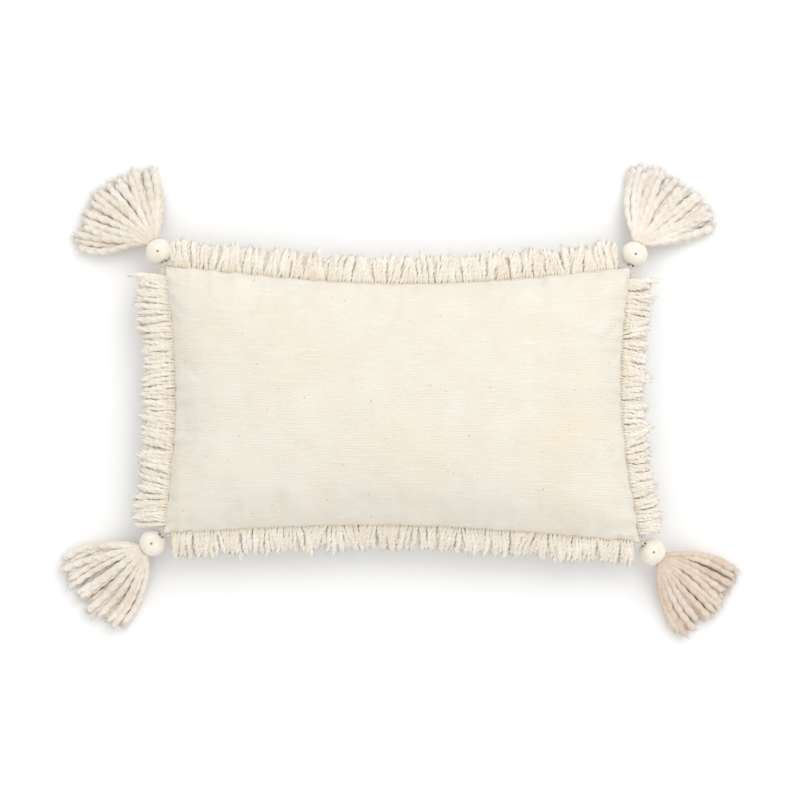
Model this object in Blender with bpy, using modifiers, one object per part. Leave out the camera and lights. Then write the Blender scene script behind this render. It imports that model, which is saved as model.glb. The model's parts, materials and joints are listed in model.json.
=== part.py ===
"""Lumbar throw pillow: a woven cotton cover with a brush fringe in its seams and a tassel at each corner.

Metres, +Z up. The pillow lies on its back. The origin is the middle of its footprint, on the surface
that it rests on; +X runs along its length, +Y across it.
"""
import math

import bmesh
import bpy
from mathutils import Matrix, Vector

MM = 0.001
CLEAR = 0.3 * MM             # gap left between pieces that touch

# ---------------------------------------------------------------- driving dimensions
PILLOW_LENGTH = 500 * MM     # seam corner to seam corner, along X
PILLOW_WIDTH = 289 * MM      # seam corner to seam corner, along Y
SEAM_HEIGHT = 48 * MM        # side seam above the surface, at the middle of a side
FRONT_RISE = 68 * MM         # crown of the front above the seam
CORNER_DROOP = 8 * MM        # how far the corners hang below the rest of the seam
CROWN_POWER = 2.2            # 2 is a round crown, more is a fuller one
BACK_SWELL = 80 * MM         # depth the back would have with nothing under it
BACK_SOFTNESS = 0.15         # how softly the back turns into its flat patch
PULL_SHAPE = 1.4             # how sharply the pulled-in sides leave the corners
LEFT_PULL = 11 * MM          # how far each side is pulled in at its middle
RIGHT_PULL = 14 * MM
TOP_PULL = 17.5 * MM
BOTTOM_PULL = 12.8 * MM

FABRIC = 1.2 * MM            # cover cloth
SEAM_GAP = 0.9 * MM          # half the slot between the two panels' edges, where the tape passes
CASE_CLOTH = 0.6 * MM        # cloth of the insert's case
CASE_MARGIN = 11.5 * MM      # the insert's seam lies this far inside the cover's seam
CASE_GAP = 0.8 * MM          # between the cover and the insert at the crown and the flat patch
CASE_FLAT = 30 * MM          # half-width of the insert's strip that the zip presses in
FILL_MARGIN = 3 * MM         # the fill stops this far short of the case's own seam

TAPE_THICK = 1.2 * MM        # header tape of the fringe
TAPE_INSIDE = 9 * MM         # seam allowance of the tape
TAPE_SHOWING = 4 * MM        # chain-stitched edge outside the seam
FRINGE_REACH = {"top": 30 * MM, "bottom": 28 * MM, "left": 36 * MM, "right": 27 * MM}
FRINGE_ROOT_THICK = 3.4 * MM
FRINGE_TIP_THICK = 6 * MM
FRINGE_DROOP = 8 * MM        # how far the tips hang below the seam
FRINGE_END = 12 * MM         # bare seam between a corner and the fringe

CORD_RADIUS = 1.7 * MM       # knotted cord between a corner and its tassel
HEAD_RADIUS = 13 * MM
HEAD_WALL = 1.5 * MM
CORD_HOLE = 1.2 * MM         # radius of the hole where the cord enters the head
NECK_RADIUS = 7.5 * MM       # yarn bundle where it is tied
NECK_LENGTH = 2.5 * MM       # straight stretch under the head that the tie is wound on
TIE_RADIUS = 0.9 * MM
YARN_SECTION = 990 * MM * MM # cross-section of all the yarns of one skirt, loosely packed
SKIRT_THIN = 8 * MM          # a spread skirt is never thinner than this
SKIRT_LANDING = 0.85         # share of its length at which it comes to rest on the surface
SKIRT_OPENING = 0.3          # share over which the yarns turn into their own directions
SKIRT_EDGE_THIN = 0.25       # how much thinner the two edges are
NECK_SQUARE = 0.8            # the skirt's flat start is this share of the round neck, and lies within it
HEAD_LEAN = math.radians(20) # how far the head's axis leans down from level

# corner: side signs, shift of the sewn corner, heading of the head, turn of the skirt, half its spread,
# length of its yarns
TASSELS = {
    "top_left": {"side": (-1, 1), "shift": (0, 2 * MM), "heading": 118, "turn": 14, "spread": 48,
                 "skirt": 79 * MM},
    "top_right": {"side": (1, 1), "shift": (-6 * MM, -2 * MM), "heading": 70, "turn": -16, "spread": 50,
                  "skirt": 88 * MM},
    "bottom_left": {"side": (-1, -1), "shift": (-2 * MM, 5 * MM), "heading": 221, "turn": 0, "spread": 25,
                    "skirt": 94 * MM},
    "bottom_right": {"side": (1, -1), "shift": (6 * MM, -5 * MM), "heading": 323, "turn": -6, "spread": 23,
                     "skirt": 90 * MM},
}

ZIP_Y = -40 * MM             # the zip lies on the flat patch, parallel to the long sides
ZIP_LENGTH = 300 * MM        # length of the coil rows
ZIP_SLOT = 12 * MM           # opening between the two back panels
ZIP_DIMPLE = 3 * MM          # the cover is drawn in along the zip
ZIP_FLAT = 16 * MM           # half-width of the drawn-in strip
ZIP_FADE = 20 * MM           # width over which it comes back to the flat patch
ZIP_FADE_END = 30 * MM       # the same past the ends of the zip
ZIP_FADE_START = 3 * MM      # bare tape before that
ZIP_END_TAPE = 10 * MM       # tape past each end of the coil
TAPE_WIDTH = 13.2 * MM
ZIP_TAPE_THICK = 0.6 * MM
ROW_GAP = 0.8 * MM           # half the gap between the two rows, for the slider's wedge
ROW_WIDTH = 2 * MM
ROW_HEIGHT = 1.6 * MM
STOP_LENGTH = 3 * MM
SLIDER_LENGTH = 9 * MM
SLIDER_WIDTH = 7.4 * MM
SLIDER_PLATE = 1.2 * MM
WEDGE_LENGTH = 3 * MM        # post between the slider's two plates
CROWN_LENGTH = 6 * MM        # arch that holds the pull tab
CROWN_WIDTH = 1.4 * MM
CROWN_BAR = 0.8 * MM
PULL_THICK = 1.0 * MM
PULL_LENGTH = 15 * MM
PULL_WIDTH = 5.4 * MM
PULL_ARM = 1.1 * MM          # width of the two arms beside the arch

COLUMNS = 20                 # grid of the cover and the insert: cells along the length
ROWS = 14                    # and across it
NEAR_ROWS = (0, 8 * MM, 16 * MM, 22 * MM, 28 * MM, 36 * MM)   # back panel's rows beside the zip
FAR_ROWS = 6                 # and from there to the seam
LONG_FRINGE_CELLS = 16       # cells of a fringe strip along a long side
SHORT_FRINGE_CELLS = 10      # and along a short side
SKIRT_CELLS = 8              # cells of a tassel's skirt, both ways

# ---------------------------------------------------------------- derived sizes
HALF_LENGTH = PILLOW_LENGTH / 2
HALF_WIDTH = PILLOW_WIDTH / 2
CROWN_HEIGHT = SEAM_HEIGHT + FRONT_RISE
ZIP_HALF = ZIP_LENGTH / 2
ZIP_TAPE_Z = ZIP_DIMPLE + FABRIC + CLEAR
ROW_Z = ZIP_TAPE_Z + ZIP_TAPE_THICK + CLEAR
SLIDER_TOP = ROW_Z + ROW_HEIGHT + CLEAR + SLIDER_PLATE
CASE_DIMPLE = SLIDER_TOP + 2 * CLEAR - FABRIC - CASE_GAP
PIVOT_REACH = CLEAR + CORD_RADIUS              # a tassel turns about a point this far off its corner
HEAD_REACH = CORD_RADIUS + CLEAR + HEAD_RADIUS # from that point to the middle of the head
CORE_RADIUS = HEAD_RADIUS - HEAD_WALL - CLEAR

PILLOW = "throw_pillow"


# ---------------------------------------------------------------- small helpers
def clear_scene():
    for obj in list(bpy.data.objects):
        bpy.data.objects.remove(obj, do_unlink=True)


def new_collection(name, hidden=False):
    group = bpy.data.collections.new(name)
    bpy.context.scene.collection.children.link(group)
    group.hide_render = hidden
    return group


def finish(name, hex_colour, roughness, metallic=0.0):
    """A Principled material with one colour, given as sRGB hex."""
    def linear(value):
        return value / 12.92 if value <= 0.04045 else ((value + 0.055) / 1.055) ** 2.4
    rgb = [linear(int(hex_colour[i:i + 2], 16) / 255) for i in (0, 2, 4)]
    material = bpy.data.materials.new(name)
    material.use_nodes = True
    shader = material.node_tree.nodes["Principled BSDF"]
    shader.inputs["Base Color"].default_value = (*rgb, 1)
    shader.inputs["Roughness"].default_value = roughness
    shader.inputs["Metallic"].default_value = metallic
    return material


def add_mesh(name, bm, collection, parent, look, smooth=True):
    """Makes an object of a bmesh, closed and facing out."""
    bmesh.ops.recalc_face_normals(bm, faces=bm.faces[:])
    if bm.calc_volume(signed=True) < 0:
        bmesh.ops.reverse_faces(bm, faces=bm.faces[:])
    mesh = bpy.data.meshes.new(name)
    bm.to_mesh(mesh)
    bm.free()
    if smooth:
        mesh.shade_smooth()
        mesh.set_sharp_from_angle(angle=math.radians(40))
    obj = bpy.data.objects.new(name, mesh)
    obj.parent = parent
    collection.objects.link(obj)
    obj.data.materials.append(look)
    return obj


def add_empty(name, collection, parent, location=(0, 0, 0), turn=(0, 0, 0)):
    empty = bpy.data.objects.new(name, None)
    empty.empty_display_size = 10 * MM
    empty.parent = parent
    empty.location = location
    empty.rotation_euler = turn
    collection.objects.link(empty)
    return empty


def two_sided(columns, rows, outer, inner):
    """A grid extruded into a closed sheet: each side is then moved onto its own surface.

    outer and inner turn a grid place, from -1 to 1 both ways, into a point. The cells are split the
    same way on every sheet, so that nested sheets keep clear of each other.
    """
    bm = bmesh.new()
    bmesh.ops.create_grid(bm, x_segments=columns, y_segments=rows, size=1)
    bmesh.ops.triangulate(bm, faces=bm.faces[:], quad_method="FIXED")
    first = bm.verts[:]
    grown = bmesh.ops.extrude_face_region(bm, geom=bm.faces[:])["geom"]
    second = [item for item in grown if isinstance(item, bmesh.types.BMVert)]
    for vert in first:
        vert.co = outer(vert.co.x, vert.co.y)
    for vert in second:
        vert.co = inner(vert.co.x, vert.co.y)
    return bm


def box(low, high):
    """A box between two corners."""
    bm = bmesh.new()
    low, high = Vector(low), Vector(high)
    size = high - low
    place = Matrix.Translation((low + high) / 2) @ Matrix.Diagonal((*size, 1))
    bmesh.ops.create_cube(bm, size=1, matrix=place)
    return bm


def smooth_step(value):
    value = min(1.0, max(0.0, value))
    return value * value * (3 - 2 * value)


def fade(distance, full, width):
    """1 up to full, then down to 0 over width."""
    return 1 - smooth_step((abs(distance) - full) / width)


# ---------------------------------------------------------------- shape of the cushion
def plan(u, v, inset):
    """Where a place on the cloth lies seen from above. u and v run from -1 to 1 between the seams."""
    pull_x = RIGHT_PULL if u > 0 else LEFT_PULL
    pull_y = TOP_PULL if v > 0 else BOTTOM_PULL
    x = u * (HALF_LENGTH - inset) - u * abs(u) * pull_x * max(0, 1 - v * v) ** PULL_SHAPE
    y = v * (HALF_WIDTH - inset) - v * abs(v) * pull_y * max(0, 1 - u * u) ** PULL_SHAPE
    for tassel in TASSELS.values():
        side_x, side_y = tassel["side"]
        share = (1 + side_x * u) / 2 * (1 + side_y * v) / 2
        x += share * tassel["shift"][0]
        y += share * tassel["shift"][1]
    return x, y


def fullness(u, v):
    """How far the filling lifts the cloth: 0 on the seams, 1 in the middle."""
    along = max(0, 1 - abs(u) ** CROWN_POWER)
    across = max(0, 1 - abs(v) ** CROWN_POWER)
    return math.sqrt(along * across)


def seam_height(u, v):
    return SEAM_HEIGHT - CORNER_DROOP * (u * v) ** 4


def front_point(u, v, inset, depth, gap):
    """A point of the front: inset from the seam in plan, depth below the crown, gap above the seam."""
    x, y = plan(u, v, inset)
    lift = fullness(u, v)
    return Vector((x, y, (seam_height(u, v) + gap) * (1 - lift) + (CROWN_HEIGHT - depth) * lift))


def back_point(u, v, inset, depth, gap, dimple, dimple_half):
    """A point of the back, which is flat where it rests and drawn in along the zip."""
    x, y = plan(u, v, inset)
    press = BACK_SWELL * fullness(u, v) / SEAM_HEIGHT
    if press > 1 + BACK_SOFTNESS:
        press = 1.0
    elif press > 1 - BACK_SOFTNESS:
        press = 1 - (1 + BACK_SOFTNESS - press) ** 2 / (4 * BACK_SOFTNESS)
    z = (seam_height(u, v) - gap) * (1 - press) + depth * press
    along = fade(x, ZIP_HALF + ZIP_END_TAPE + dimple_half - ZIP_FLAT + ZIP_FADE_START, ZIP_FADE_END)
    z += dimple * fade(y - ZIP_Y, dimple_half, ZIP_FADE + dimple_half - ZIP_FLAT) * along
    return Vector((x, y, z))


def eased(place):
    """Grid places crowd towards the seams, where the cloth turns fastest."""
    return math.sin(place * math.pi / 2)


def place_at_y(u, y, inset):
    """The v at which the cloth lies at y."""
    low, high = -1.0, 1.0
    for _ in range(40):
        middle = (low + high) / 2
        if plan(u, middle, inset)[1] < y:
            low = middle
        else:
            high = middle
    return (low + high) / 2


def slot_half(x):
    """Half the opening between the back panels: wide at the zip, a closed seam past its ends."""
    return CLEAR / 2 + (ZIP_SLOT - CLEAR) / 2 * fade(x, ZIP_HALF + STOP_LENGTH + CLEAR, ZIP_END_TAPE)


def back_panel_place(s, t, side, inset):
    """The u and v of a back panel's grid place. t runs from the zip's slot to the side seam."""
    u = eased(s)
    steps = len(NEAR_ROWS) - 1 + FAR_ROWS
    row = round((t + 1) / 2 * steps)
    x = plan(u, place_at_y(u, ZIP_Y, inset), inset)[0]
    near = NEAR_ROWS[min(row, len(NEAR_ROWS) - 1)]
    v = place_at_y(u, ZIP_Y + side * (slot_half(x) + near), inset)
    far = max(0, row - len(NEAR_ROWS) + 1) / FAR_ROWS
    return u, v + (side - v) * eased(far)


def add_cover(collection, root, cloth):
    def front(inset):
        return lambda s, t: front_point(eased(s), eased(t), inset, inset, SEAM_GAP)
    add_mesh("front_panel", two_sided(COLUMNS, ROWS, front(0), front(FABRIC)), collection, root, cloth)

    rows = len(NEAR_ROWS) - 1 + FAR_ROWS
    for name, side in (("back_panel_upper", 1), ("back_panel_lower", -1)):
        def back(inset, side=side):
            def point(s, t):
                u, v = back_panel_place(s, t, side, inset)
                return back_point(u, v, inset, inset, SEAM_GAP, ZIP_DIMPLE, ZIP_FLAT)
            return point
        add_mesh(name, two_sided(COLUMNS, rows, back(0), back(FABRIC)), collection, root, cloth)


def add_insert(collection, root, cloth, fluff):
    """The stuffed insert: a plain case of two halves, and the fill."""
    def front(margin, step):
        depth = FABRIC + CASE_GAP + step
        return lambda s, t: front_point(eased(s), eased(t), margin, depth, CLEAR / 2)

    def back(margin, step):
        depth = FABRIC + CASE_GAP + step
        return lambda s, t: back_point(eased(s), eased(t), margin, depth, CLEAR / 2, CASE_DIMPLE,
                                       CASE_FLAT)

    for name, side in (("insert_front", front), ("insert_back", back)):
        case = two_sided(COLUMNS, ROWS, side(CASE_MARGIN, 0), side(CASE_MARGIN + CASE_CLOTH, CASE_CLOTH))
        add_mesh(name, case, collection, root, cloth)
    margin, step = CASE_MARGIN + FILL_MARGIN, CASE_CLOTH + 2 * CLEAR
    fill = two_sided(COLUMNS, ROWS, front(margin, step), back(margin, step))
    add_mesh("fill", fill, collection, root, fluff)


# ---------------------------------------------------------------- fringe
def seam_place(side, place):
    """A point on a side's seam, and the level direction that points out of it. place is -1 to 1."""
    def at(value):
        u, v = {"top": (value, 1), "bottom": (value, -1), "left": (-1, value), "right": (1, value)}[side]
        x, y = plan(u, v, 0)
        return Vector((x, y, seam_height(u, v)))
    step = 0.01
    along = at(place + step) - at(place - step)
    out = Vector((along.y, -along.x, 0)).normalized()
    if out.dot({"top": Vector((0, 1, 0)), "bottom": Vector((0, -1, 0)),
                "left": Vector((-1, 0, 0)), "right": Vector((1, 0, 0))}[side]) < 0:
        out = -out
    return at(place), out


def add_fringe(collection, root, tape_look, yarn_look):
    for side, reach in FRINGE_REACH.items():
        half = HALF_LENGTH if side in ("top", "bottom") else HALF_WIDTH
        last = 1 - FRINGE_END / half
        cells = LONG_FRINGE_CELLS if side in ("top", "bottom") else SHORT_FRINGE_CELLS

        def strip(inner, outer, thick_in, thick_out, drop, face, side=side, last=last):
            def point(s, t):
                seam, out = seam_place(side, eased(s * 2 / math.pi * math.asin(last)))
                across = (t + 1) / 2
                thick = thick_in + (thick_out - thick_in) * across
                lower = drop * across * across
                reach_here = inner + (outer - inner) * across
                return seam + out * reach_here + Vector((0, 0, face * thick / 2 - lower))
            return point

        tape = [strip(-TAPE_INSIDE, TAPE_SHOWING, TAPE_THICK, TAPE_THICK, 0, face) for face in (1, -1)]
        add_mesh(f"fringe_tape_{side}", two_sided(cells, 1, *tape), collection, root, tape_look)
        start = TAPE_SHOWING + CLEAR
        yarn = [strip(start, reach, FRINGE_ROOT_THICK, FRINGE_TIP_THICK, FRINGE_DROOP, face)
                for face in (1, -1)]
        add_mesh(f"fringe_yarn_{side}", two_sided(cells, 3, *yarn), collection, root, yarn_look)


# ---------------------------------------------------------------- tassels
def turned(name, profile, steps, collection, parent, look):
    """A shape turned about Z from a profile of (radius, height), outer side running down."""
    mesh = bpy.data.meshes.new(name)
    mesh.from_pydata([(r, 0, z) for r, z in profile], [(i, i + 1) for i in range(len(profile) - 1)], [])
    obj = bpy.data.objects.new(name, mesh)
    obj.parent = parent
    collection.objects.link(obj)
    obj.data.materials.append(look)
    screw = obj.modifiers.new("Turn", "SCREW")
    screw.steps = steps
    screw.render_steps = steps
    screw.use_merge_vertices = True
    screw.merge_threshold = 0.01 * MM
    return obj


def arc(radius, start, end, steps):
    """Points (radius, height) of an arc about the origin. Angles run down from straight up."""
    angles = [start + (end - start) * i / steps for i in range(steps + 1)]
    return [(radius * math.sin(angle), radius * math.cos(angle)) for angle in angles]


def skirt_sheet(tassel, neck, floor):
    """The loose skirt: yarns that spread from the neck and come down to lie on the surface."""
    length = tassel["skirt"]
    spread = math.radians(tassel["spread"])
    turn = math.radians(tassel["turn"])

    def half_thick(reach):
        half_wide = NECK_RADIUS + reach * math.sin(spread)
        return min(NECK_RADIUS * NECK_SQUARE, max(SKIRT_THIN / 2, YARN_SECTION / (4 * half_wide)))

    landing = SKIRT_LANDING * length
    rest_z = floor + half_thick(length) + CLEAR

    def middle(reach):
        """Height of the skirt's middle: leaves the neck along the head's axis and ends level."""
        q = min(1.0, reach / landing)
        start = neck.z * (2 * q ** 3 - 3 * q ** 2 + 1)
        lean = -math.tan(HEAD_LEAN) * landing * (q ** 3 - 2 * q ** 2 + q)
        return start + lean + rest_z * (3 * q ** 2 - 2 * q ** 3)

    def side(face):
        def point(s, t):
            reach = (t + 1) / 2 * length
            opened = smooth_step(reach / (SKIRT_OPENING * length))
            angle = (turn + spread * s) * opened
            thick = half_thick(reach) * (1 - SKIRT_EDGE_THIN * s * s)
            return Vector((neck.x + reach * math.cos(angle),
                           neck.y + NECK_RADIUS * NECK_SQUARE * s + reach * math.sin(angle),
                           max(floor + CLEAR, middle(reach) + face * thick)))
        return point
    return two_sided(SKIRT_CELLS, SKIRT_CELLS, side(1), side(-1))


def add_tassel(name, tassel, collection, cutters, root, looks):
    side_x, side_y = tassel["side"]
    corner = Vector((*plan(side_x, side_y, 0), seam_height(side_x, side_y)))
    heading = math.radians(tassel["heading"])
    pivot = corner + Vector((math.cos(heading), math.sin(heading), 0)) * PIVOT_REACH
    swing = add_empty(f"tassel_{name}_swing", collection, root, pivot, (0, 0, heading))
    lift = add_empty(f"tassel_{name}_lift", collection, swing)

    cord = bmesh.new()
    bmesh.ops.create_uvsphere(cord, u_segments=12, v_segments=8, radius=CORD_RADIUS)
    add_mesh(f"tassel_{name}_cord", cord, collection, swing, looks["cord"])

    # The tassel's axis points out and down from the pivot; turned pieces are made about their own Z.
    axis = Vector((math.cos(HEAD_LEAN), 0, -math.sin(HEAD_LEAN)))
    to_axis = (0, math.pi / 2 + HEAD_LEAN + math.pi, 0)
    head_place = axis * HEAD_REACH
    neck_angle = math.pi - math.asin((NECK_RADIUS + CLEAR) / (HEAD_RADIUS - HEAD_WALL))
    top_angle = math.asin(CORD_HOLE / (HEAD_RADIUS - HEAD_WALL))

    head = turned(f"tassel_{name}_head", arc(HEAD_RADIUS, top_angle, neck_angle, 8), 16, collection, lift,
                  looks["head"])
    head.location = head_place
    head.rotation_euler = to_axis
    wall = head.modifiers.new("Wall", "SOLIDIFY")
    wall.thickness = HEAD_WALL
    wall.offset = -1

    # Yarn bundle: the folded core inside the head, and its neck, joined to the loose skirt.
    core_end = math.pi - math.asin(NECK_RADIUS / CORE_RADIUS)
    head_end = -HEAD_RADIUS * math.cos(neck_angle)
    tie_place = head_end + 2 * CLEAR + TIE_RADIUS
    neck_end = tie_place + TIE_RADIUS + CLEAR + NECK_LENGTH
    profile = arc(CORE_RADIUS, 0, core_end, 7) + [(NECK_RADIUS, -neck_end), (0, -neck_end)]
    core = turned(f"{name}_core", profile, 16, cutters, lift, looks["yarn"])
    core.location = head_place
    core.rotation_euler = to_axis
    core.hide_render = True
    core.display_type = "WIRE"

    neck = axis * (HEAD_REACH + tie_place + TIE_RADIUS + CLEAR)
    floor = -(pivot.z)
    skirt = add_mesh(f"tassel_{name}_yarn", skirt_sheet(tassel, neck, floor), collection, lift, looks["yarn"])
    join = skirt.modifiers.new("Core", "BOOLEAN")
    join.operation = "UNION"
    join.object = core

    bpy.ops.mesh.primitive_torus_add(major_radius=NECK_RADIUS + CLEAR + TIE_RADIUS, minor_radius=TIE_RADIUS,
                                     major_segments=16, minor_segments=6)
    tie = bpy.context.object
    tie.name = f"tassel_{name}_tie"
    for group in list(tie.users_collection):
        group.objects.unlink(tie)
    collection.objects.link(tie)
    tie.parent = lift
    tie.location = axis * (HEAD_REACH + tie_place)
    tie.rotation_euler = to_axis
    tie.data.materials.append(looks["cord"])
    tie.data.shade_smooth()


# ---------------------------------------------------------------- zip
def add_zip(collection, cutters, root, looks):
    """A reversed coil zip: its coil faces the insert, its slider and pull tab face out, down here."""
    tape_half = ZIP_HALF + ZIP_END_TAPE
    row_top = ROW_Z + ROW_HEIGHT
    for name, side in (("upper", 1), ("lower", -1)):
        near, far = ZIP_Y + side * ROW_GAP, ZIP_Y + side * (ROW_GAP + TAPE_WIDTH)
        low, high = min(near, far), max(near, far)
        tape = box((-tape_half, low, ZIP_TAPE_Z), (tape_half, high, ZIP_TAPE_Z + ZIP_TAPE_THICK))
        add_mesh(f"zip_tape_{name}", tape, collection, root, looks["tape"], smooth=False)
        far = near + side * ROW_WIDTH
        low, high = min(near, far), max(near, far)
        add_mesh(f"zip_coil_{name}", box((-ZIP_HALF, low, ROW_Z), (ZIP_HALF, high, row_top)),
                 collection, root, looks["coil"], smooth=False)
        start = ZIP_HALF + CLEAR
        add_mesh(f"zip_top_stop_{name}", box((start, low, ROW_Z), (start + STOP_LENGTH, high, row_top)),
                 collection, root, looks["metal"], smooth=False)
    half = ROW_GAP + ROW_WIDTH
    start = -ZIP_HALF - CLEAR
    wide_stop = ((start - STOP_LENGTH, ZIP_Y - half, ROW_Z), (start, ZIP_Y + half, row_top))
    add_mesh("zip_bottom_stop", box(*wide_stop),
             collection, root, looks["metal"], smooth=False)

    # Slider, closed at the top stops. Its origin is on the pull tab's pivot.
    plate_z = ZIP_TAPE_Z - CLEAR
    pull_z = plate_z - SLIDER_PLATE - CLEAR - PULL_THICK / 2
    slide = add_empty("zip_slider_place", collection, root,
                      (ZIP_HALF - SLIDER_LENGTH / 2, ZIP_Y, pull_z))
    half_l, half_w = SLIDER_LENGTH / 2, SLIDER_WIDTH / 2
    post_half = ROW_GAP - CLEAR
    plate_low = plate_z - SLIDER_PLATE - pull_z
    plate_high = plate_z - pull_z
    top_low = row_top + CLEAR - pull_z
    hole_low = -PULL_THICK / 2 - CLEAR
    crown_low = hole_low - CROWN_BAR
    half_c = CROWN_LENGTH / 2
    slider = add_mesh("zip_slider", box((-half_l, -half_w, plate_low), (half_l, half_w, plate_high)),
                      collection, slide, looks["metal"], smooth=False)
    additions = {
        "inner_plate": ((-half_l, -half_w, top_low), (half_l, half_w, top_low + SLIDER_PLATE)),
        "wedge": ((half_l - WEDGE_LENGTH, -post_half, plate_high - SLIDER_PLATE / 2),
                  (half_l, post_half, top_low + SLIDER_PLATE / 2)),
        "crown": ((-half_c, -CROWN_WIDTH / 2, crown_low),
                  (half_c, CROWN_WIDTH / 2, plate_low + SLIDER_PLATE / 2)),
    }
    for name, (low, high) in additions.items():
        join = slider.modifiers.new(name, "BOOLEAN")
        join.operation = "UNION"
        join.object = add_guide(name, box(low, high), cutters, slide)
    hole = slider.modifiers.new("hole", "BOOLEAN")
    hole.operation = "DIFFERENCE"
    hole.object = add_guide("crown_hole", box((-half_c + CROWN_BAR, -CROWN_WIDTH, hole_low),
                                              (half_c - CROWN_BAR, CROWN_WIDTH, plate_low)), cutters, slide)

    # Pull tab: a flat tab with an eye; the eye's cross bar lies under the slider's arch.
    arm_in = CROWN_WIDTH / 2 + CLEAR
    eye_half = PULL_THICK / 2
    reach = half_c + CLEAR * 2
    tab = box((-PULL_LENGTH, -PULL_WIDTH / 2, -eye_half), (eye_half, PULL_WIDTH / 2, eye_half))
    pull = add_mesh("zip_pull", tab, collection, slide, looks["metal"], smooth=False)
    eye = pull.modifiers.new("eye", "BOOLEAN")
    eye.operation = "DIFFERENCE"
    eye.object = add_guide("pull_eye", box((-reach, -arm_in, -PULL_THICK), (-eye_half, arm_in, PULL_THICK)),
                           cutters, slide)
    for name, side in (("pull_side_a", 1), ("pull_side_b", -1)):
        edge = side * (arm_in + PULL_ARM)
        low, high = min(edge, side * PULL_WIDTH), max(edge, side * PULL_WIDTH)
        trim = pull.modifiers.new(name, "BOOLEAN")
        trim.operation = "DIFFERENCE"
        beside = box((-reach, low, -PULL_THICK), (PULL_THICK, high, PULL_THICK))
        trim.object = add_guide(name, beside, cutters, slide)


def add_guide(name, bm, cutters, parent):
    """A cutter or an addition for a Boolean, shown as wire and not part of the model."""
    bmesh.ops.recalc_face_normals(bm, faces=bm.faces[:])
    mesh = bpy.data.meshes.new(name)
    bm.to_mesh(mesh)
    bm.free()
    guide = bpy.data.objects.new(name, mesh)
    guide.parent = parent
    guide.hide_render = True
    guide.display_type = "WIRE"
    cutters.objects.link(guide)
    return guide


# ---------------------------------------------------------------- the whole pillow
def centre_on_origin(root, pieces):
    """Moves the whole pillow so that the middle of its box stands over the origin."""
    bpy.context.view_layer.update()
    depsgraph = bpy.context.evaluated_depsgraph_get()
    points = []
    for obj in pieces:
        shape = obj.evaluated_get(depsgraph)
        points += [shape.matrix_world @ vert.co for vert in shape.data.vertices]
    for axis in (0, 1):
        values = [point[axis] for point in points]
        root.location[axis] = -(min(values) + max(values)) / 2


def main():
    clear_scene()
    collection = new_collection(PILLOW)
    cutters = new_collection(f"{PILLOW}_cutters", hidden=True)
    root = add_empty(PILLOW, collection, None)

    cloth = finish("cover_cotton", "f3ede1", 0.95)
    header = finish("header_tape", "efe6d6", 0.9)
    yarn = finish("cotton_yarn", "eadfcd", 0.95)
    calico = finish("insert_calico", "f5f3ee", 0.9)
    fluff = finish("polyester_fill", "fafafa", 1.0)
    tassel_looks = {
        "cord": finish("tassel_cord", "e6dac6", 0.9),
        "head": finish("tassel_head_cotton", "ebe5d9", 0.85),
        "yarn": yarn,
    }
    zip_looks = {
        "tape": finish("zip_tape", "efe8da", 0.8),
        "coil": finish("zip_coil_nylon", "f0ebe0", 0.45),
        "metal": finish("zip_nickel", "b8b4ac", 0.3, 1.0),
    }

    add_cover(collection, root, cloth)
    add_insert(collection, root, calico, fluff)
    add_fringe(collection, root, header, yarn)
    for name, tassel in TASSELS.items():
        add_tassel(name, tassel, collection, cutters, root, tassel_looks)
    add_zip(collection, cutters, root, zip_looks)
    centre_on_origin(root, [obj for obj in collection.objects if obj.type == "MESH"])


main()
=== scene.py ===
# %% [markdown]
# # A lumbar pillow with a brush fringe and four tassels
# The solid model of the pillow holds the sizes, the joints and the places of everything. This script
# opens that model as its frame and gives every piece its looks: cloth that has been sewn and stuffed,
# twisted yarn, a stitched header, and daylight from above. Nothing in the frame is moved or resized.

import json
import math

import bpy
import numpy as np
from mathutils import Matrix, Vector, noise


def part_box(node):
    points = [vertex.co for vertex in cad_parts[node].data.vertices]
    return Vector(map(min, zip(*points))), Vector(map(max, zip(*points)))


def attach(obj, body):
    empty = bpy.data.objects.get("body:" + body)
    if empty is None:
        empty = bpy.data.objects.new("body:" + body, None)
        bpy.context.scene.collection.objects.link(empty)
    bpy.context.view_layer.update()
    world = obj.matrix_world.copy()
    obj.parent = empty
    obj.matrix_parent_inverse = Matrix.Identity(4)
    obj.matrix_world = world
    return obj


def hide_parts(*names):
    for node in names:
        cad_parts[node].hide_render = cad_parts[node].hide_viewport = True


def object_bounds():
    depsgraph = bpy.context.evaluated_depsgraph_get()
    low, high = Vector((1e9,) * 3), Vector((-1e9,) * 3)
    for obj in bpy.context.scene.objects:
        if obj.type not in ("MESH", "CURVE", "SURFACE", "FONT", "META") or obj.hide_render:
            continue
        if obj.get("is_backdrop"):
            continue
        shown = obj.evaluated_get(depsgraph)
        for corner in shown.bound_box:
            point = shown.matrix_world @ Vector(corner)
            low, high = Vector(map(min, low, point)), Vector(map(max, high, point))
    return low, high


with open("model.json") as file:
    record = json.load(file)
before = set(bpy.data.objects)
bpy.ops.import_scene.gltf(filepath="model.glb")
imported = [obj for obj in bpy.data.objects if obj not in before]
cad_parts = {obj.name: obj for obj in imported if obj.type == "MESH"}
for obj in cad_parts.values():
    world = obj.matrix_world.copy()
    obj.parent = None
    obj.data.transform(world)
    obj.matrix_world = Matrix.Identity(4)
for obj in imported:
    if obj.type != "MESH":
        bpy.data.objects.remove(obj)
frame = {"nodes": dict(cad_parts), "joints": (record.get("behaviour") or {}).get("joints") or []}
size_at_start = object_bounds()
MM = 0.001

# %% [markdown]
# ## Small helpers
# Blender's operators act on what is selected, so each step first deselects everything. The points of a
# mesh are read and written as one array, which is quick even for a whole fringe.

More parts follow.
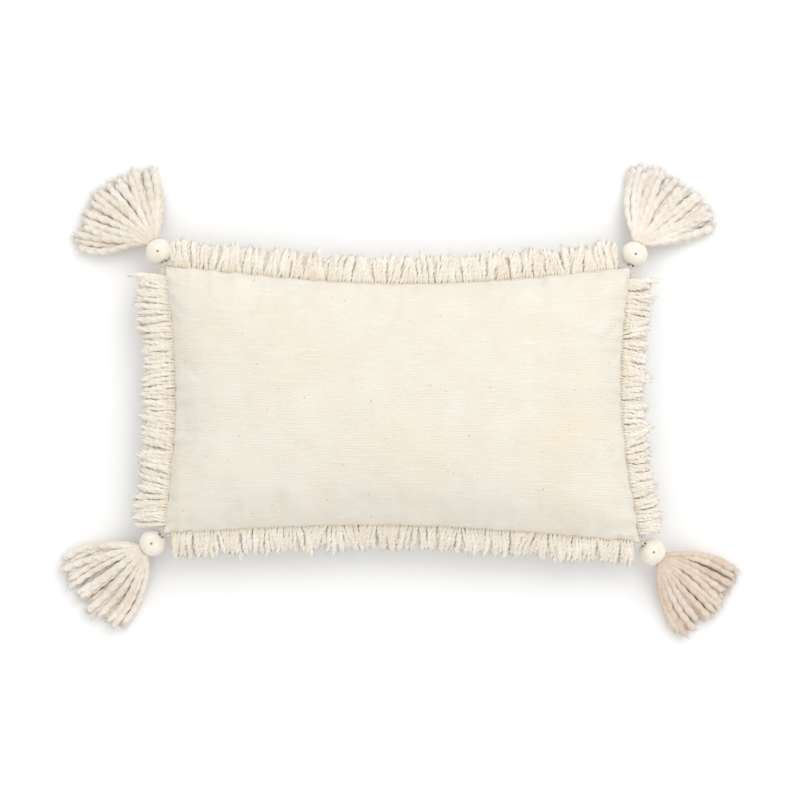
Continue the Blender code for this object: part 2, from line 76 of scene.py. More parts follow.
# %% Helpers for selection and points
def choose(*objs):
    """Selects only these objects. The last one becomes the active one."""
    bpy.ops.object.select_all(action="DESELECT")
    for obj in objs:
        obj.select_set(True)
    bpy.context.view_layer.objects.active = objs[-1]


def points_of(obj):
    flat = np.empty(len(obj.data.vertices) * 3)
    obj.data.vertices.foreach_get("co", flat)
    return flat.reshape(-1, 3)


def move_points(obj, points):
    obj.data.vertices.foreach_set("co", np.ascontiguousarray(points).ravel())
    obj.data.update()


def apply_modifiers(obj):
    choose(obj)
    for modifier in list(obj.modifiers):
        bpy.ops.object.modifier_apply(modifier=modifier.name)


def join(name, objs):
    """Joins several objects into one with this name."""
    choose(*objs)
    bpy.ops.object.join()
    joined = bpy.context.object
    joined.name = name
    joined.data.name = name
    return joined


def paint(obj, material):
    """Gives the object this material and no other."""
    obj.data.materials.clear()
    obj.data.materials.append(material)


def subdivide_once(obj):
    finer = obj.modifiers.new("Finer", "SUBSURF")
    finer.levels = 1
    finer.render_levels = 1
    apply_modifiers(obj)


def face_outwards(obj):
    """Turns every face's normal away from the inside."""
    choose(obj)
    bpy.ops.object.mode_set(mode="EDIT")
    bpy.ops.mesh.select_all(action="SELECT")
    bpy.ops.mesh.normals_make_consistent(inside=False)
    bpy.ops.object.mode_set(mode="OBJECT")


print("helpers ready")

# %% [markdown]
# ## Small helpers for materials
# Every surface here is procedural: its colour, roughness and relief come from nodes. Scales are worked
# out from real distances, so a rib that is 3 mm apart on the cloth is 3 mm apart in the render.

# %% Helpers for materials
def linear(hex_colour):
    """An sRGB colour, as hex, in the linear values that nodes use."""
    def channel(value):
        return value / 12.92 if value <= 0.04045 else ((value + 0.055) / 1.055) ** 2.4
    return (*(channel(int(hex_colour[i:i + 2], 16) / 255) for i in (0, 2, 4)), 1)


def add(tree, kind, values=None, links=None, **settings):
    """Adds one node with its settings, its socket values and the links into it."""
    made = tree.nodes.new(kind)
    for key, value in settings.items():
        setattr(made, key, value)
    for key, value in (values or {}).items():
        made.inputs[key].default_value = value
    for key, source in (links or {}).items():
        tree.links.new(source, made.inputs[key])
    return made


def new_material(name, roughness, **sockets):
    """A Principled material whose even values are set on the shader itself."""
    material = bpy.data.materials.new(name)
    material.use_nodes = True
    tree = material.node_tree
    shader = tree.nodes["Principled BSDF"]
    shader.inputs["Roughness"].default_value = roughness
    for key, value in sockets.items():
        shader.inputs[key.replace("_", " ")].default_value = value
    return material, tree, shader


def mix(tree, factor, first, second):
    """Mixes two colours. Each is a hex colour or the output of a node."""
    made = add(tree, "ShaderNodeMix", data_type="RGBA")
    for index, value in ((0, factor), (6, first), (7, second)):
        if isinstance(value, str):
            made.inputs[index].default_value = linear(value)
        elif isinstance(value, (int, float)):
            made.inputs[index].default_value = value
        else:
            tree.links.new(value, made.inputs[index])
    return made.outputs[2]


def math_node(tree, operation, first, second=0.0):
    made = add(tree, "ShaderNodeMath", operation=operation)
    for index, value in enumerate((first, second)):
        if isinstance(value, (int, float)):
            made.inputs[index].default_value = value
        else:
            tree.links.new(value, made.inputs[index])
    return made.outputs[0]


def ramp(tree, source, low, high):
    """0 at low and below, 1 at high and above."""
    made = add(tree, "ShaderNodeMapRange", {"From Min": low, "From Max": high}, {"Value": source})
    return made.outputs["Result"]


def bump(tree, shader, height, distance, strength=1.0):
    made = add(tree, "ShaderNodeBump", {"Distance": distance, "Strength": strength}, {"Height": height})
    tree.links.new(made.outputs["Normal"], shader.inputs["Normal"])


def band_scale(period):
    """The scale at which a Wave texture's bands are this far apart, in metres."""
    return 2 * math.pi / 20 / period


print("material helpers ready")

# %% [markdown]
# ## Reading the shape from the frame
# A stuffed cover is widest at its corners and pulled in between them, because the cloth has to find
# the length for its crown somewhere. The four sewn corners are found from the tassels' joints, and the
# pull of each side from the header tapes, so the looks follow the frame if its sizes change.

# %% Corners, seams and crown
CORNERS = {"top_left": (-1, 1), "top_right": (1, 1), "bottom_left": (-1, -1), "bottom_right": (1, -1)}
PIVOT_REACH = 2.0 * MM      # a tassel turns about a point this far off its corner
TAPE_INSIDE = 9.0 * MM      # seam allowance of the header tape
TAPE_THICK = 1.2 * MM
PULL_SHAPE = 1.4            # how sharply the pulled-in sides leave the corners
CROWN_POWER = 2.2           # 2 is a round crown, more is a fuller one
BACK_SWELL = 80 * MM        # depth the back would have with nothing under it
BACK_SOFTNESS = 0.15        # how softly the back turns into its flat patch
SEAM_GAP = 0.9 * MM         # half the thickness of the seam

joints = {joint["name"]: joint for joint in frame["joints"]}
pivots, headings, corners = {}, {}, {}
for name in CORNERS:
    pivots[name] = Vector(joints[f"{name}_swing"]["pos_m"])
    axis = joints[f"{name}_lift"]["axis"]
    headings[name] = Vector((-axis[1], axis[0], 0)).normalized()
    corners[name] = pivots[name] - headings[name] * PIVOT_REACH

tape = {side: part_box(f"fringe_tape_{side}") for side in ("top", "bottom", "left", "right")}
seam_z = tape["top"][1].z - TAPE_THICK / 2
corner_drop = seam_z - corners["top_left"].z
crown_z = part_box("front_panel")[1].z
pulls = {
    "top": (corners["top_left"].y + corners["top_right"].y) / 2 - (tape["top"][0].y + TAPE_INSIDE),
    "bottom": (tape["bottom"][1].y - TAPE_INSIDE
               - (corners["bottom_left"].y + corners["bottom_right"].y) / 2),
    "left": (tape["left"][1].x - TAPE_INSIDE) - (corners["top_left"].x + corners["bottom_left"].x) / 2,
    "right": (corners["top_right"].x + corners["bottom_right"].x) / 2 - (tape["right"][0].x + TAPE_INSIDE),
}
half_length = (corners["top_right"].x - corners["top_left"].x) / 2
half_width = (corners["top_left"].y - corners["bottom_left"].y) / 2
print({side: round(pull / MM, 1) for side, pull in pulls.items()}, "mm pulled in")

# %% The pillow as formulas
def plan(u, v, inset=0.0):
    """Where the cloth lies seen from above. u and v are arrays from -1 to 1 between the seams."""
    grown_u, grown_v = u * (1 - inset / half_length), v * (1 - inset / half_width)
    place = np.zeros(np.broadcast(u, v).shape + (2,))
    for name, (side_x, side_y) in CORNERS.items():
        share = (1 + side_x * grown_u) / 2 * (1 + side_y * grown_v) / 2
        place += share[..., None] * np.array(corners[name][:2])
    pull_x = np.where(u > 0, pulls["right"], pulls["left"])
    pull_y = np.where(v > 0, pulls["top"], pulls["bottom"])
    place[..., 0] -= u * abs(u) * pull_x * np.clip(1 - v * v, 0, 1) ** PULL_SHAPE
    place[..., 1] -= v * abs(v) * pull_y * np.clip(1 - u * u, 0, 1) ** PULL_SHAPE
    return place


def fullness(u, v):
    """How far the filling lifts the cloth: 0 on the seams, 1 in the middle."""
    across = np.clip(1 - abs(u) ** CROWN_POWER, 0, 1) * np.clip(1 - abs(v) ** CROWN_POWER, 0, 1)
    return np.sqrt(across)


def seam_height(u, v):
    return seam_z - corner_drop * (u * v) ** 4


def front_height(u, v, gap, depth):
    lift = fullness(u, v)
    return (seam_height(u, v) + gap) * (1 - lift) + (crown_z - depth) * lift


def back_height(u, v, gap, depth):
    """The back is flat where the pillow rests on it."""
    press = BACK_SWELL * fullness(u, v) / seam_z
    soft = BACK_SOFTNESS
    eased = 1 - (1 + soft - press) ** 2 / (4 * soft)
    press = np.where(press > 1 + soft, 1.0, np.where(press > 1 - soft, eased, press))
    return (seam_height(u, v) - gap) * (1 - press) + depth * press


print("crown", round(crown_z / MM), "mm, seam", round(seam_z / MM), "mm above the floor")

# %% [markdown]
# ## The stuffed cover
# The real cover is two pieces of cloth sewn along the edge, turned, and stuffed. Here a flat grid is
# extruded once, which makes a front and a back that share a narrow rim, and both sides are moved onto
# the shape above. The cells crowd towards the seams, where cloth turns fastest, and towards the zip,
# which needs straight rows beside it.

# %% Rows of the grid
zip_boxes = [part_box("zip_tape_upper"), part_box("zip_tape_lower")]
zip_y = (zip_boxes[0][0].y + zip_boxes[1][1].y) / 2
zip_half = zip_boxes[0][1].x - 6 * MM
COLUMNS = 120
ROWS = 64


def crowded(count):
    """Places from -1 to 1 that lie closer together towards the ends."""
    even = np.linspace(-1, 1, count + 1)
    return 0.35 * even + 0.65 * np.sin(even * math.pi / 2)


across = crowded(ROWS)
beside_zip = zip_y + np.array([-9, -7, -6.2, -5.6, -4.6, 4.6, 5.6, 6.2, 7, 9]) * MM
middle_y = plan(np.zeros(1), np.zeros(1))[0, 1]
zip_rows = (beside_zip - middle_y) / half_width
keep = (across < zip_rows[0] - 0.012) | (across > zip_rows[-1] + 0.012)
row_places = np.sort(np.concatenate([across[keep], zip_rows]))
column_places = crowded(COLUMNS)
print(len(column_places), "columns and", len(row_places), "rows of points")


# %% Make the closed form
def closed_form(name, columns, rows, front, back):
    """A grid, extruded into a front and a back. front and back turn u and v into points."""
    bpy.ops.object.select_all(action="DESELECT")
    bpy.ops.mesh.primitive_grid_add(x_subdivisions=len(columns) - 1, y_subdivisions=len(rows) - 1, size=2)
    form = bpy.context.object
    form.name = name
    bpy.ops.object.mode_set(mode="EDIT")
    bpy.ops.mesh.select_all(action="SELECT")
    bpy.ops.mesh.extrude_region_move(TRANSFORM_OT_translate={"value": (0, 0, 1)})
    bpy.ops.object.mode_set(mode="OBJECT")
    flat = points_of(form)
    u = columns[np.rint((flat[:, 0] + 1) / 2 * (len(columns) - 1)).astype(int)]
    v = rows[np.rint((flat[:, 1] + 1) / 2 * (len(rows) - 1)).astype(int)]
    is_front = flat[:, 2] > 0.5
    shaped = np.where(is_front[:, None], front(u, v), back(u, v))
    move_points(form, shaped)
    face_outwards(form)
    return form, u, v, is_front


def cover_front(u, v):
    return np.column_stack([plan(u, v), front_height(u, v, SEAM_GAP, 2 * MM)])


def cover_back(u, v):
    return np.column_stack([plan(u, v), back_height(u, v, SEAM_GAP, 0.0)])


cover, cover_u, cover_v, cover_front_side = closed_form(
    "cover", column_places, row_places, cover_front, cover_back)
print(len(cover.data.polygons), "faces in the cover")

# %% [markdown]
# ## A map for the weave
# The weave follows the cloth as it was cut, not the room. So the cover gets a UV map in metres of flat
# cloth, 508 by 305 mm for each panel, and the front and the back lie beside each other on it.

# %% Map the cloth in metres
CUT_LENGTH = 508 * MM
CUT_WIDTH = 305 * MM


def map_cloth(obj, u, v, is_front):
    layer = obj.data.uv_layers.active or obj.data.uv_layers.new(name="cloth")
    layer.name = "cloth"
    vertex = np.empty(len(obj.data.loops), dtype=np.int32)
    obj.data.loops.foreach_get("vertex_index", vertex)
    flat = np.column_stack([u * CUT_LENGTH / 2, v * CUT_WIDTH / 2 + np.where(is_front, 0, 0.4)])
    layer.data.foreach_set("uv", flat[vertex].ravel())


map_cloth(cover, cover_u, cover_v, cover_front_side)
print("cloth mapped:", CUT_LENGTH, "by", CUT_WIDTH, "m a panel")

# %% [markdown]
# ## Stuffing it
# Air pressure inside a Cloth simulation does what the fill does: it pushes the slack cloth out until
# the weave holds it. The seam is pinned, because the header tape keeps its length, and so are the rows
# beside the zip. The cloth is given a little more length than it needs, which is what makes it dimple
# and gather, and no point may move further than a set distance, so the pillow keeps its size.

# %% Fill the cover with pressure
MOST_MOVED = 5 * MM
FRAMES = 20


def stuff(obj, pinned, slack, pressure):
    """Runs the simulation and applies it, with no point moved further than MOST_MOVED."""
    before = points_of(obj)
    group = obj.vertex_groups.new(name="sewn")
    group.add([int(i) for i in np.nonzero(pinned)[0]], 1.0, "REPLACE")
    cloth = obj.modifiers.new("Cloth", "CLOTH")
    settings = cloth.settings
    settings.quality = 7
    settings.mass = 0.2
    settings.tension_stiffness = 30
    settings.compression_stiffness = 12
    settings.shear_stiffness = 6
    settings.bending_stiffness = 0.25
    settings.shrink_min = -slack
    settings.use_pressure = True
    settings.uniform_pressure_force = pressure
    settings.vertex_group_mass = "sewn"
    settings.effector_weights.gravity = 0
    cloth.collision_settings.use_collision = False
    cloth.point_cache.frame_start = 1
    cloth.point_cache.frame_end = FRAMES
    for number in range(1, FRAMES + 1):
        bpy.context.scene.frame_set(number)
    apply_modifiers(obj)
    bpy.context.scene.frame_set(1)
    moved = points_of(obj) - before
    length = np.linalg.norm(moved, axis=1, keepdims=True)
    limited = MOST_MOVED * np.tanh(length / MOST_MOVED)
    move_points(obj, before + moved * limited / np.maximum(length, 1e-9))
    return float(length.max())


on_rim = (abs(cover_u) > 0.999) | (abs(cover_v) > 0.999)
flat_y = points_of(cover)[:, 1]
flat_x = points_of(cover)[:, 0]
by_zip = ~cover_front_side & (abs(flat_y - zip_y) < 9.5 * MM) & (abs(flat_x) < zip_half + 8 * MM)
furthest = stuff(cover, on_rim | by_zip, slack=0.014, pressure=4.0)
print("the cloth wanted to move", round(furthest / MM, 1), "mm at most")

# %% [markdown]
# ## Gathers, dents and the opening of the zip
# Along a sewn edge the cloth puckers between the stitches, in short folds that die out within a few
# centimetres. Hand-stuffed fill also leaves shallow dents all over. Both are small, so they're added to
# the points after one subdivision. The zip lies in a straight opening in the back.

# %% Subdivide the cover once
for name, values in (("map_u", cover_u), ("map_v", cover_v), ("map_front", cover_front_side.astype(float))):
    attribute = cover.data.attributes.new(name, "FLOAT", "POINT")
    attribute.data.foreach_set("value", values)
subdivide_once(cover)


def take_attribute(obj, name):
    """Reads a point attribute, then removes it."""
    attribute = obj.data.attributes[name]
    values = np.empty(len(obj.data.vertices))
    attribute.data.foreach_get("value", values)
    obj.data.attributes.remove(attribute)
    return values


cover_u, cover_v, cover_side = (take_attribute(cover, key) for key in ("map_u", "map_v", "map_front"))
print(len(cover.data.vertices), "points after subdivision")


# %% Pucker the edges and dent the middle
def waves(place, seed, longest, shortest, count=14):
    """A smooth random line: a sum of waves with wavelengths between two lengths, from -1 to 1."""
    chance = np.random.default_rng(seed)
    total = np.zeros_like(place)
    for _ in range(count):
        length = shortest * (longest / shortest) ** chance.random()
        total += np.sin(place * 2 * math.pi / length + chance.random() * 2 * math.pi)
    return total / math.sqrt(count / 2) / 1.6


points = points_of(cover)
normals = np.array([vertex.normal for vertex in cover.data.vertices])
to_end = (1 - abs(cover_u)) * half_length
to_side = (1 - abs(cover_v)) * half_width
side_sign = np.where(cover_side > 0.5, 1, 7)
folds = np.zeros(len(points))
for seed, distance, along in ((11, to_side, points[:, 0]), (23, to_end, points[:, 1])):
    for half, sign in ((cover_v > 0 if seed == 11 else cover_u > 0, 1),
                       (cover_v <= 0 if seed == 11 else cover_u <= 0, 2)):
        for face in (1, 7):
            chosen = half & (side_sign == face)
            near = np.exp(-distance / (16 * MM)) * np.minimum(distance / (3 * MM), 1)
            line = waves(along, seed + sign + face, 34 * MM, 11 * MM)
            folds += np.where(chosen, near * line * 1.5 * MM, 0)
            long_near = np.exp(-distance / (42 * MM)) * np.minimum(distance / (8 * MM), 1)
            long_line = waves(along, 100 + seed + sign + face, 110 * MM, 45 * MM)
            folds += np.where(chosen, long_near * long_line * 1.5 * MM, 0)
dents = np.array([noise.fractal(Vector(point) * 13, 0.9, 2.1, 3) for point in points])
inside = np.clip(np.minimum(to_end, to_side) / (40 * MM), 0, 1)
points += normals * (folds + dents * inside * 2.2 * MM)[:, None]
print("folds up to", round(float(abs(folds).max()) / MM, 1), "mm")

# %% Open the back for the zip
STRIP_HALF = 24 * MM        # half the width of cloth that the zip draws in
DIMPLE = 3 * MM             # how far it is drawn in
GROOVE = 8.6 * MM           # how far the cloth's folded edges reach past the zip
away = abs(points[:, 1] - zip_y)
past_end = np.clip((abs(points[:, 0]) - zip_half) / (12 * MM), 0, 1)
is_back = cover_side < 0.5
drawn_in = DIMPLE * np.clip((STRIP_HALF - away) / (12 * MM), 0, 1)
depth = np.interp(away, [0, 5.2 * MM, 5.7 * MM, 6.3 * MM, 8 * MM], [GROOVE, GROOVE, 7 * MM, 3.4 * MM, DIMPLE])
opened = np.where(away < 8 * MM, depth, drawn_in)
# Past its ends and away from its sides, the zip lets the cloth keep its own height.
share = is_back * (1 - past_end) * np.clip((STRIP_HALF - away) / (8 * MM), 0, 1)
points[:, 2] = points[:, 2] * (1 - share) + opened * share
points[:, 2] = np.where(is_back, np.maximum(points[:, 2], 0), points[:, 2])
move_points(cover, points)
choose(cover)
bpy.ops.object.shade_smooth()
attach(cover, "cushion")
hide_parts("front_panel", "back_panel_upper", "back_panel_lower")
print("cloth drawn in", round(DIMPLE / MM), "mm along the zip")

# %% [markdown]
# ## Slub cotton
# The cover is a plain-woven cotton whose weft is uneven: thicker yarns make faint ribs 3 mm apart that
# run along the pillow, with short slubs and a few dark flecks of seed left in the yarn. Its colour is a
# warm natural white that varies softly over the cloth.

# %% The cover's material
def slub_cotton():
    material, tree, shader = new_material(
        "slub_cotton", 0.93, Sheen_Weight=0.25, Sheen_Roughness=0.5, Specular_IOR_Level=0.25)
    uv = add(tree, "ShaderNodeUVMap", uv_map="cloth").outputs["UV"]
    wave = add(tree, "ShaderNodeTexWave", {
        "Scale": band_scale(3.1 * MM), "Distortion": 5.0, "Detail": 3.0, "Detail Scale": 1.6,
    }, {"Vector": uv}, bands_direction="Y")
    fine = add(tree, "ShaderNodeTexWave", {
        "Scale": band_scale(0.9 * MM), "Distortion": 1.5, "Detail": 1.0, "Detail Scale": 1.5,
    }, {"Vector": uv}, bands_direction="Y")
    warp = add(tree, "ShaderNodeTexWave", {
        "Scale": band_scale(1.1 * MM), "Distortion": 1.2, "Detail": 1.0, "Detail Scale": 1.5,
    }, {"Vector": uv}, bands_direction="X")
    drawn_out = add(tree, "ShaderNodeMapping", {"Scale": (24, 520, 1)}, {"Vector": uv}).outputs["Vector"]
    slub = add(tree, "ShaderNodeTexNoise", {"Scale": 1.0, "Detail": 3.0}, {"Vector": drawn_out})
    blotch = add(tree, "ShaderNodeTexNoise", {"Scale": 26.0, "Detail": 4.0}, {"Vector": uv})
    stain = add(tree, "ShaderNodeTexNoise", {"Scale": 8.0, "Detail": 3.0}, {"Vector": uv})
    fleck = add(tree, "ShaderNodeTexVoronoi", {"Scale": 60.0, "Randomness": 1.0}, {"Vector": uv})
    thick = ramp(tree, slub.outputs["Fac"], 0.52, 0.72)
    colour = mix(tree, ramp(tree, blotch.outputs["Fac"], 0.3, 0.7), "e2dbcd", "e8e2d6")
    warm = math_node(tree, "MULTIPLY", ramp(tree, stain.outputs["Fac"], 0.5, 0.68), 0.55)
    colour = mix(tree, warm, colour, "e6d9be")
    ribs = math_node(tree, "MULTIPLY", ramp(tree, wave.outputs["Fac"], 0.2, 0.9), 0.25)
    colour = mix(tree, ribs, colour, "ece6da")
    # The slubs are thicker yarn, painted paler; the paler colour is partly painted highlight on their raised
    # tops.
    colour = mix(tree, math_node(tree, "MULTIPLY", thick, 0.6), colour, "f0ebe1")
    speck = math_node(tree, "MULTIPLY", ramp(tree, fleck.outputs["Distance"], 0.07, 0.035), 0.6)
    colour = mix(tree, speck, colour, "a58f6f")
    tree.links.new(colour, shader.inputs["Base Color"])
    weave = math_node(tree, "MULTIPLY", math_node(tree, "ADD", fine.outputs["Fac"], warp.outputs["Fac"]), 0.3)
    relief = math_node(tree, "ADD", math_node(tree, "ADD", wave.outputs["Fac"], thick), weave)
    bump(tree, shader, relief, 0.3 * MM, 0.75)
    return material


paint(cover, slub_cotton())
print("cover dressed")

# %% [markdown]
# ## The insert
# Through the open zip one would see a second cushion: a plain case that holds the fill. It's the same
# closed form, a little smaller all round, in a smooth thin calico.

# %% Make the insert
INSERT_MARGIN = 11.5 * MM


def insert_front(u, v):
    return np.column_stack([plan(u, v, INSERT_MARGIN), front_height(u, v, 0.2 * MM, 10 * MM)])


def insert_back(u, v):
    return np.column_stack([plan(u, v, INSERT_MARGIN), back_height(u, v, 0.2 * MM, 9 * MM)])


coarse = crowded(40)
insert, insert_u, insert_v, insert_side = closed_form(
    "insert", coarse, crowded(26), insert_front, insert_back)
map_cloth(insert, insert_u, insert_v, insert_side)
subdivide_once(insert)
choose(insert)
bpy.ops.object.shade_smooth()
calico, calico_tree, calico_shader = new_material("calico_case", 0.9, Sheen_Weight=0.1)
calico_uv = add(calico_tree, "ShaderNodeUVMap", uv_map="cloth").outputs["UV"]
calico_yarn = [add(calico_tree, "ShaderNodeTexWave", {"Scale": band_scale(0.8 * MM), "Distortion": 0.6},
                   {"Vector": calico_uv}, bands_direction=way).outputs["Fac"] for way in ("X", "Y")]
calico_relief = math_node(calico_tree, "MULTIPLY", *calico_yarn)
calico_tree.links.new(mix(calico_tree, calico_relief, "e9e6df", "f5f3ee"), calico_shader.inputs["Base Color"])
bump(calico_tree, calico_shader, calico_relief, 0.1 * MM)
paint(insert, calico)
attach(insert, "cushion")
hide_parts("insert_front", "insert_back", "fill")
print(len(insert.data.polygons), "faces in the insert")

# %% [markdown]
# ## One yarn, laid many times
# The fringe and the tassels are hundreds of yarns of the same kind. One straight yarn is modelled by
# extruding a small circle, one unit long. A function then lays copies of it along paths: each ring of
# the yarn goes to its own place on the path, with its own thickness and twist. Each copy also carries a
# tint, its distance along the yarn, and a UV map round it, which the material uses.

# %% A straight yarn
def straight_yarn(name, sides, rings, lobes=0.0):
    """A closed rod along Z, one unit long and one unit in radius. lobes makes it two plies."""
    bpy.ops.object.select_all(action="DESELECT")
    bpy.ops.mesh.primitive_circle_add(vertices=sides, radius=1, fill_type="NGON")
    rod = bpy.context.object
    rod.name = name
    bpy.ops.object.mode_set(mode="EDIT")
    for _ in range(rings):
        bpy.ops.mesh.extrude_region_move(TRANSFORM_OT_translate={"value": (0, 0, 1 / rings)})
    bpy.ops.mesh.select_all(action="SELECT")
    bpy.ops.mesh.normals_make_consistent(inside=False)
    bpy.ops.object.mode_set(mode="OBJECT")
    shape = points_of(rod)
    ply = 1 + lobes * np.cos(2 * np.arctan2(shape[:, 1], shape[:, 0]))
    shape[:, :2] *= ply[:, None]
    move_points(rod, shape)
    return rod


def wrap_map(rod):
    """For each corner of each face: how far round the rod it is, from 0 to 1, and how far along."""
    shape = points_of(rod)
    corners_uv = []
    for face in rod.data.polygons:
        turn = [math.atan2(shape[i][1], shape[i][0]) / (2 * math.pi) % 1.0 for i in face.vertices]
        if max(turn) - min(turn) > 0.5:
            turn = [value + 1 if value < 0.5 else value for value in turn]
        corners_uv += [(value, shape[i][2]) for value, i in zip(turn, face.vertices)]
    return np.array(corners_uv)


print("yarn maker ready")


# %% Lay copies of it along paths
def copies_of(name, master, placed, mapping, tints, along):
    """One mesh of many copies. placed holds each copy's points, and along the same value for each copy."""
    faces = [tuple(face.vertices) for face in master.data.polygons]
    copies, count = placed.shape[:2]
    mesh = bpy.data.meshes.new(name)
    mesh.from_pydata(placed.reshape(-1, 3), [],
                     [tuple(i + copy * count for i in face) for copy in range(copies) for face in faces])
    layer = mesh.uv_layers.new(name="yarn")
    layer.data.foreach_set("uv", mapping.ravel())
    for key, values in (("tint", np.repeat(tints, count)), ("along", np.tile(along, copies))):
        attribute = mesh.attributes.new(key, "FLOAT", "POINT")
        attribute.data.foreach_set("value", values)
    obj = bpy.data.objects.new(name, mesh)
    bpy.context.scene.collection.objects.link(obj)
    choose(obj)
    return obj


def lay(name, rod, paths, radii, tints, twists=None):
    """Lays one copy of the rod on each path and joins them into one mesh.

    paths holds points, as copies x rings x 3; radii the radius at each of those points.
    """
    shape = points_of(rod)
    copies, rings = paths.shape[:2]
    spot = shape[:, 2] * (rings - 1)
    low = np.minimum(spot.astype(int), rings - 2)
    part = (spot - low)[None, :, None]
    centre = paths[:, low] * (1 - part) + paths[:, low + 1] * part
    thick = radii[:, low] * (1 - part[..., 0]) + radii[:, low + 1] * part[..., 0]
    tangents = np.gradient(paths, axis=1)
    tangents /= np.maximum(np.linalg.norm(tangents, axis=2, keepdims=True), 1e-12)
    tangent = tangents[:, low] * (1 - part) + tangents[:, low + 1] * part
    tangent /= np.maximum(np.linalg.norm(tangent, axis=2, keepdims=True), 1e-12)
    side = np.cross(tangent, (0.02, 0.03, 1.0))
    side /= np.maximum(np.linalg.norm(side, axis=2, keepdims=True), 1e-12)
    up = np.cross(tangent, side)
    across, above = shape[None, :, 0], shape[None, :, 1]
    if twists is not None:
        turn = twists[:, low] * (1 - part[..., 0]) + twists[:, low + 1] * part[..., 0]
        across, above = (across * np.cos(turn) - above * np.sin(turn),
                         across * np.sin(turn) + above * np.cos(turn))
    laid = centre + side * (across * thick)[..., None] + up * (above * thick)[..., None]
    lengths = np.linalg.norm(np.diff(paths, axis=1), axis=2).sum(axis=1)
    once = wrap_map(rod)
    around = np.tile(once[:, 0], copies)
    along = (once[None, :, 1] * lengths[:, None]).ravel()
    obj = copies_of(name, rod, laid, np.column_stack([around, along]), tints, shape[:, 2])
    bpy.ops.object.shade_smooth_by_angle(angle=math.radians(50))
    return obj


def drop(obj):
    """Removes an object that was only a master."""
    mesh = obj.data
    bpy.data.objects.remove(obj)
    bpy.data.meshes.remove(mesh)


print("layer ready")

# %% [markdown]
# ## Yarn material
# Soft cotton yarn is two plies twisted together. At this size the plies show as fine slanting lines
# across the yarn, with painted shade in the grooves between them. The colour changes a little from yarn
# to yarn, is darkened with painted shade near the roots, where the yarns crowd together, and is paler at
# the cut ends, where the fibres have opened.

# %% The material of fringe and tassels
def cotton_yarn(name, shade, pale, deep, pitch, plies, root_shade=0.5):
    material, tree, shader = new_material(
        name, 0.95, Sheen_Weight=0.3, Sheen_Roughness=0.6, Specular_IOR_Level=0.2)
    tint = add(tree, "ShaderNodeAttribute", attribute_name="tint").outputs["Fac"]
    along = add(tree, "ShaderNodeAttribute", attribute_name="along").outputs["Fac"]
    uv = add(tree, "ShaderNodeUVMap", uv_map="yarn").outputs["UV"]
    place = add(tree, "ShaderNodeSeparateXYZ", links={"Vector": uv})
    turns = math_node(tree, "MULTIPLY", place.outputs["X"], float(plies))
    steps = math_node(tree, "MULTIPLY", place.outputs["Y"], 1 / pitch)
    phase = math_node(tree, "MULTIPLY", math_node(tree, "ADD", turns, steps), 2 * math.pi)
    ply = math_node(tree, "MULTIPLY", math_node(tree, "ADD", math_node(tree, "SINE", phase), 1.0), 0.5)
    here = add(tree, "ShaderNodeTexCoord").outputs["Object"]
    fibre = add(tree, "ShaderNodeTexNoise", {"Scale": 900.0, "Detail": 3.0}, {"Vector": here})
    patch = add(tree, "ShaderNodeTexNoise", {"Scale": 45.0, "Detail": 2.0}, {"Vector": here})
    colour = mix(tree, tint, shade, pale)
    colour = mix(tree, math_node(tree, "MULTIPLY", ramp(tree, patch.outputs["Fac"], 0.4, 0.7), 0.25),
                 colour, deep)
    # Painted shade: the yarns darken towards their roots, where they crowd together.
    root_shade_mask = math_node(tree, "MULTIPLY", ramp(tree, along, 0.35, 0.0), root_shade)
    colour = mix(tree, root_shade_mask, colour, deep)
    colour = mix(tree, math_node(tree, "MULTIPLY", ramp(tree, along, 0.7, 1.0), 0.5), colour, pale)
    # Painted shade: the grooves between the two plies are darkened.
    ply_groove_shade = math_node(tree, "MULTIPLY", math_node(tree, "SUBTRACT", 1.0, ply), 0.28)
    colour = mix(tree, ply_groove_shade, colour, deep)
    tree.links.new(colour, shader.inputs["Base Color"])
    relief = math_node(tree, "ADD", ply, math_node(tree, "MULTIPLY", fibre.outputs["Fac"], 0.8))
    bump(tree, shader, relief, 0.35 * MM, 0.9)
    return material


header_yarn = cotton_yarn("header_cotton", "f4ecdf", "fcf8f0", "dfcdae", 1.6 * MM, 2, 0.0)
print("yarn materials ready")

# %% [markdown]
# ## The header of the fringe
# A brush fringe is sold as a tape: loose yarns knotted side by side into a chain-stitched edge. The
# tape is sewn into the seam and only the chain shows. One link is a small flat ring. It's copied side
# by side along all four seams, in two rows, over a narrow strip of tape.

# %% Places along a seam
SIDES = {"top": 1, "bottom": -1, "left": -1, "right": 1}
YARN_PITCH = 3.2 * MM
FRINGE_MARGIN = 11 * MM     # room left at each corner for the head to turn


def seam(side, place):
    """Points on a side's seam, and the level directions out of it and along it. place is -1 to 1."""
    def at(value):
        ones = np.full_like(value, SIDES[side])
        u, v = (value, ones) if side in ("top", "bottom") else (ones, value)
        return np.column_stack([plan(u, v), seam_height(u, v)])
    along = at(place + 0.004) - at(place - 0.004)
    along[:, 2] = 0
    along /= np.linalg.norm(along, axis=1, keepdims=True)
    out = np.column_stack([along[:, 1], -along[:, 0], np.zeros(len(place))])
    wanted = {"top": (0, 1, 0), "bottom": (0, -1, 0), "left": (-1, 0, 0), "right": (1, 0, 0)}[side]
    out *= np.sign(out @ np.array(wanted))[:, None]
    return at(place), out, along


def spaced(side, pitch, margin):
    """Places along a side that are a pitch apart, and stop short of its corners."""
    fine = np.linspace(-1, 1, 1001)
    spots = seam(side, fine)[0]
    run = np.concatenate([[0], np.cumsum(np.linalg.norm(np.diff(spots[:, :2], axis=0), axis=1))])
    wanted = np.arange(margin, run[-1] - margin, pitch)
    return np.interp(wanted, run, fine)


print(sum(len(spaced(side, YARN_PITCH, FRINGE_MARGIN)) for side in SIDES), "yarns a layer")

# %% Chain stitches and tape
LINK_PITCH = 3.6 * MM


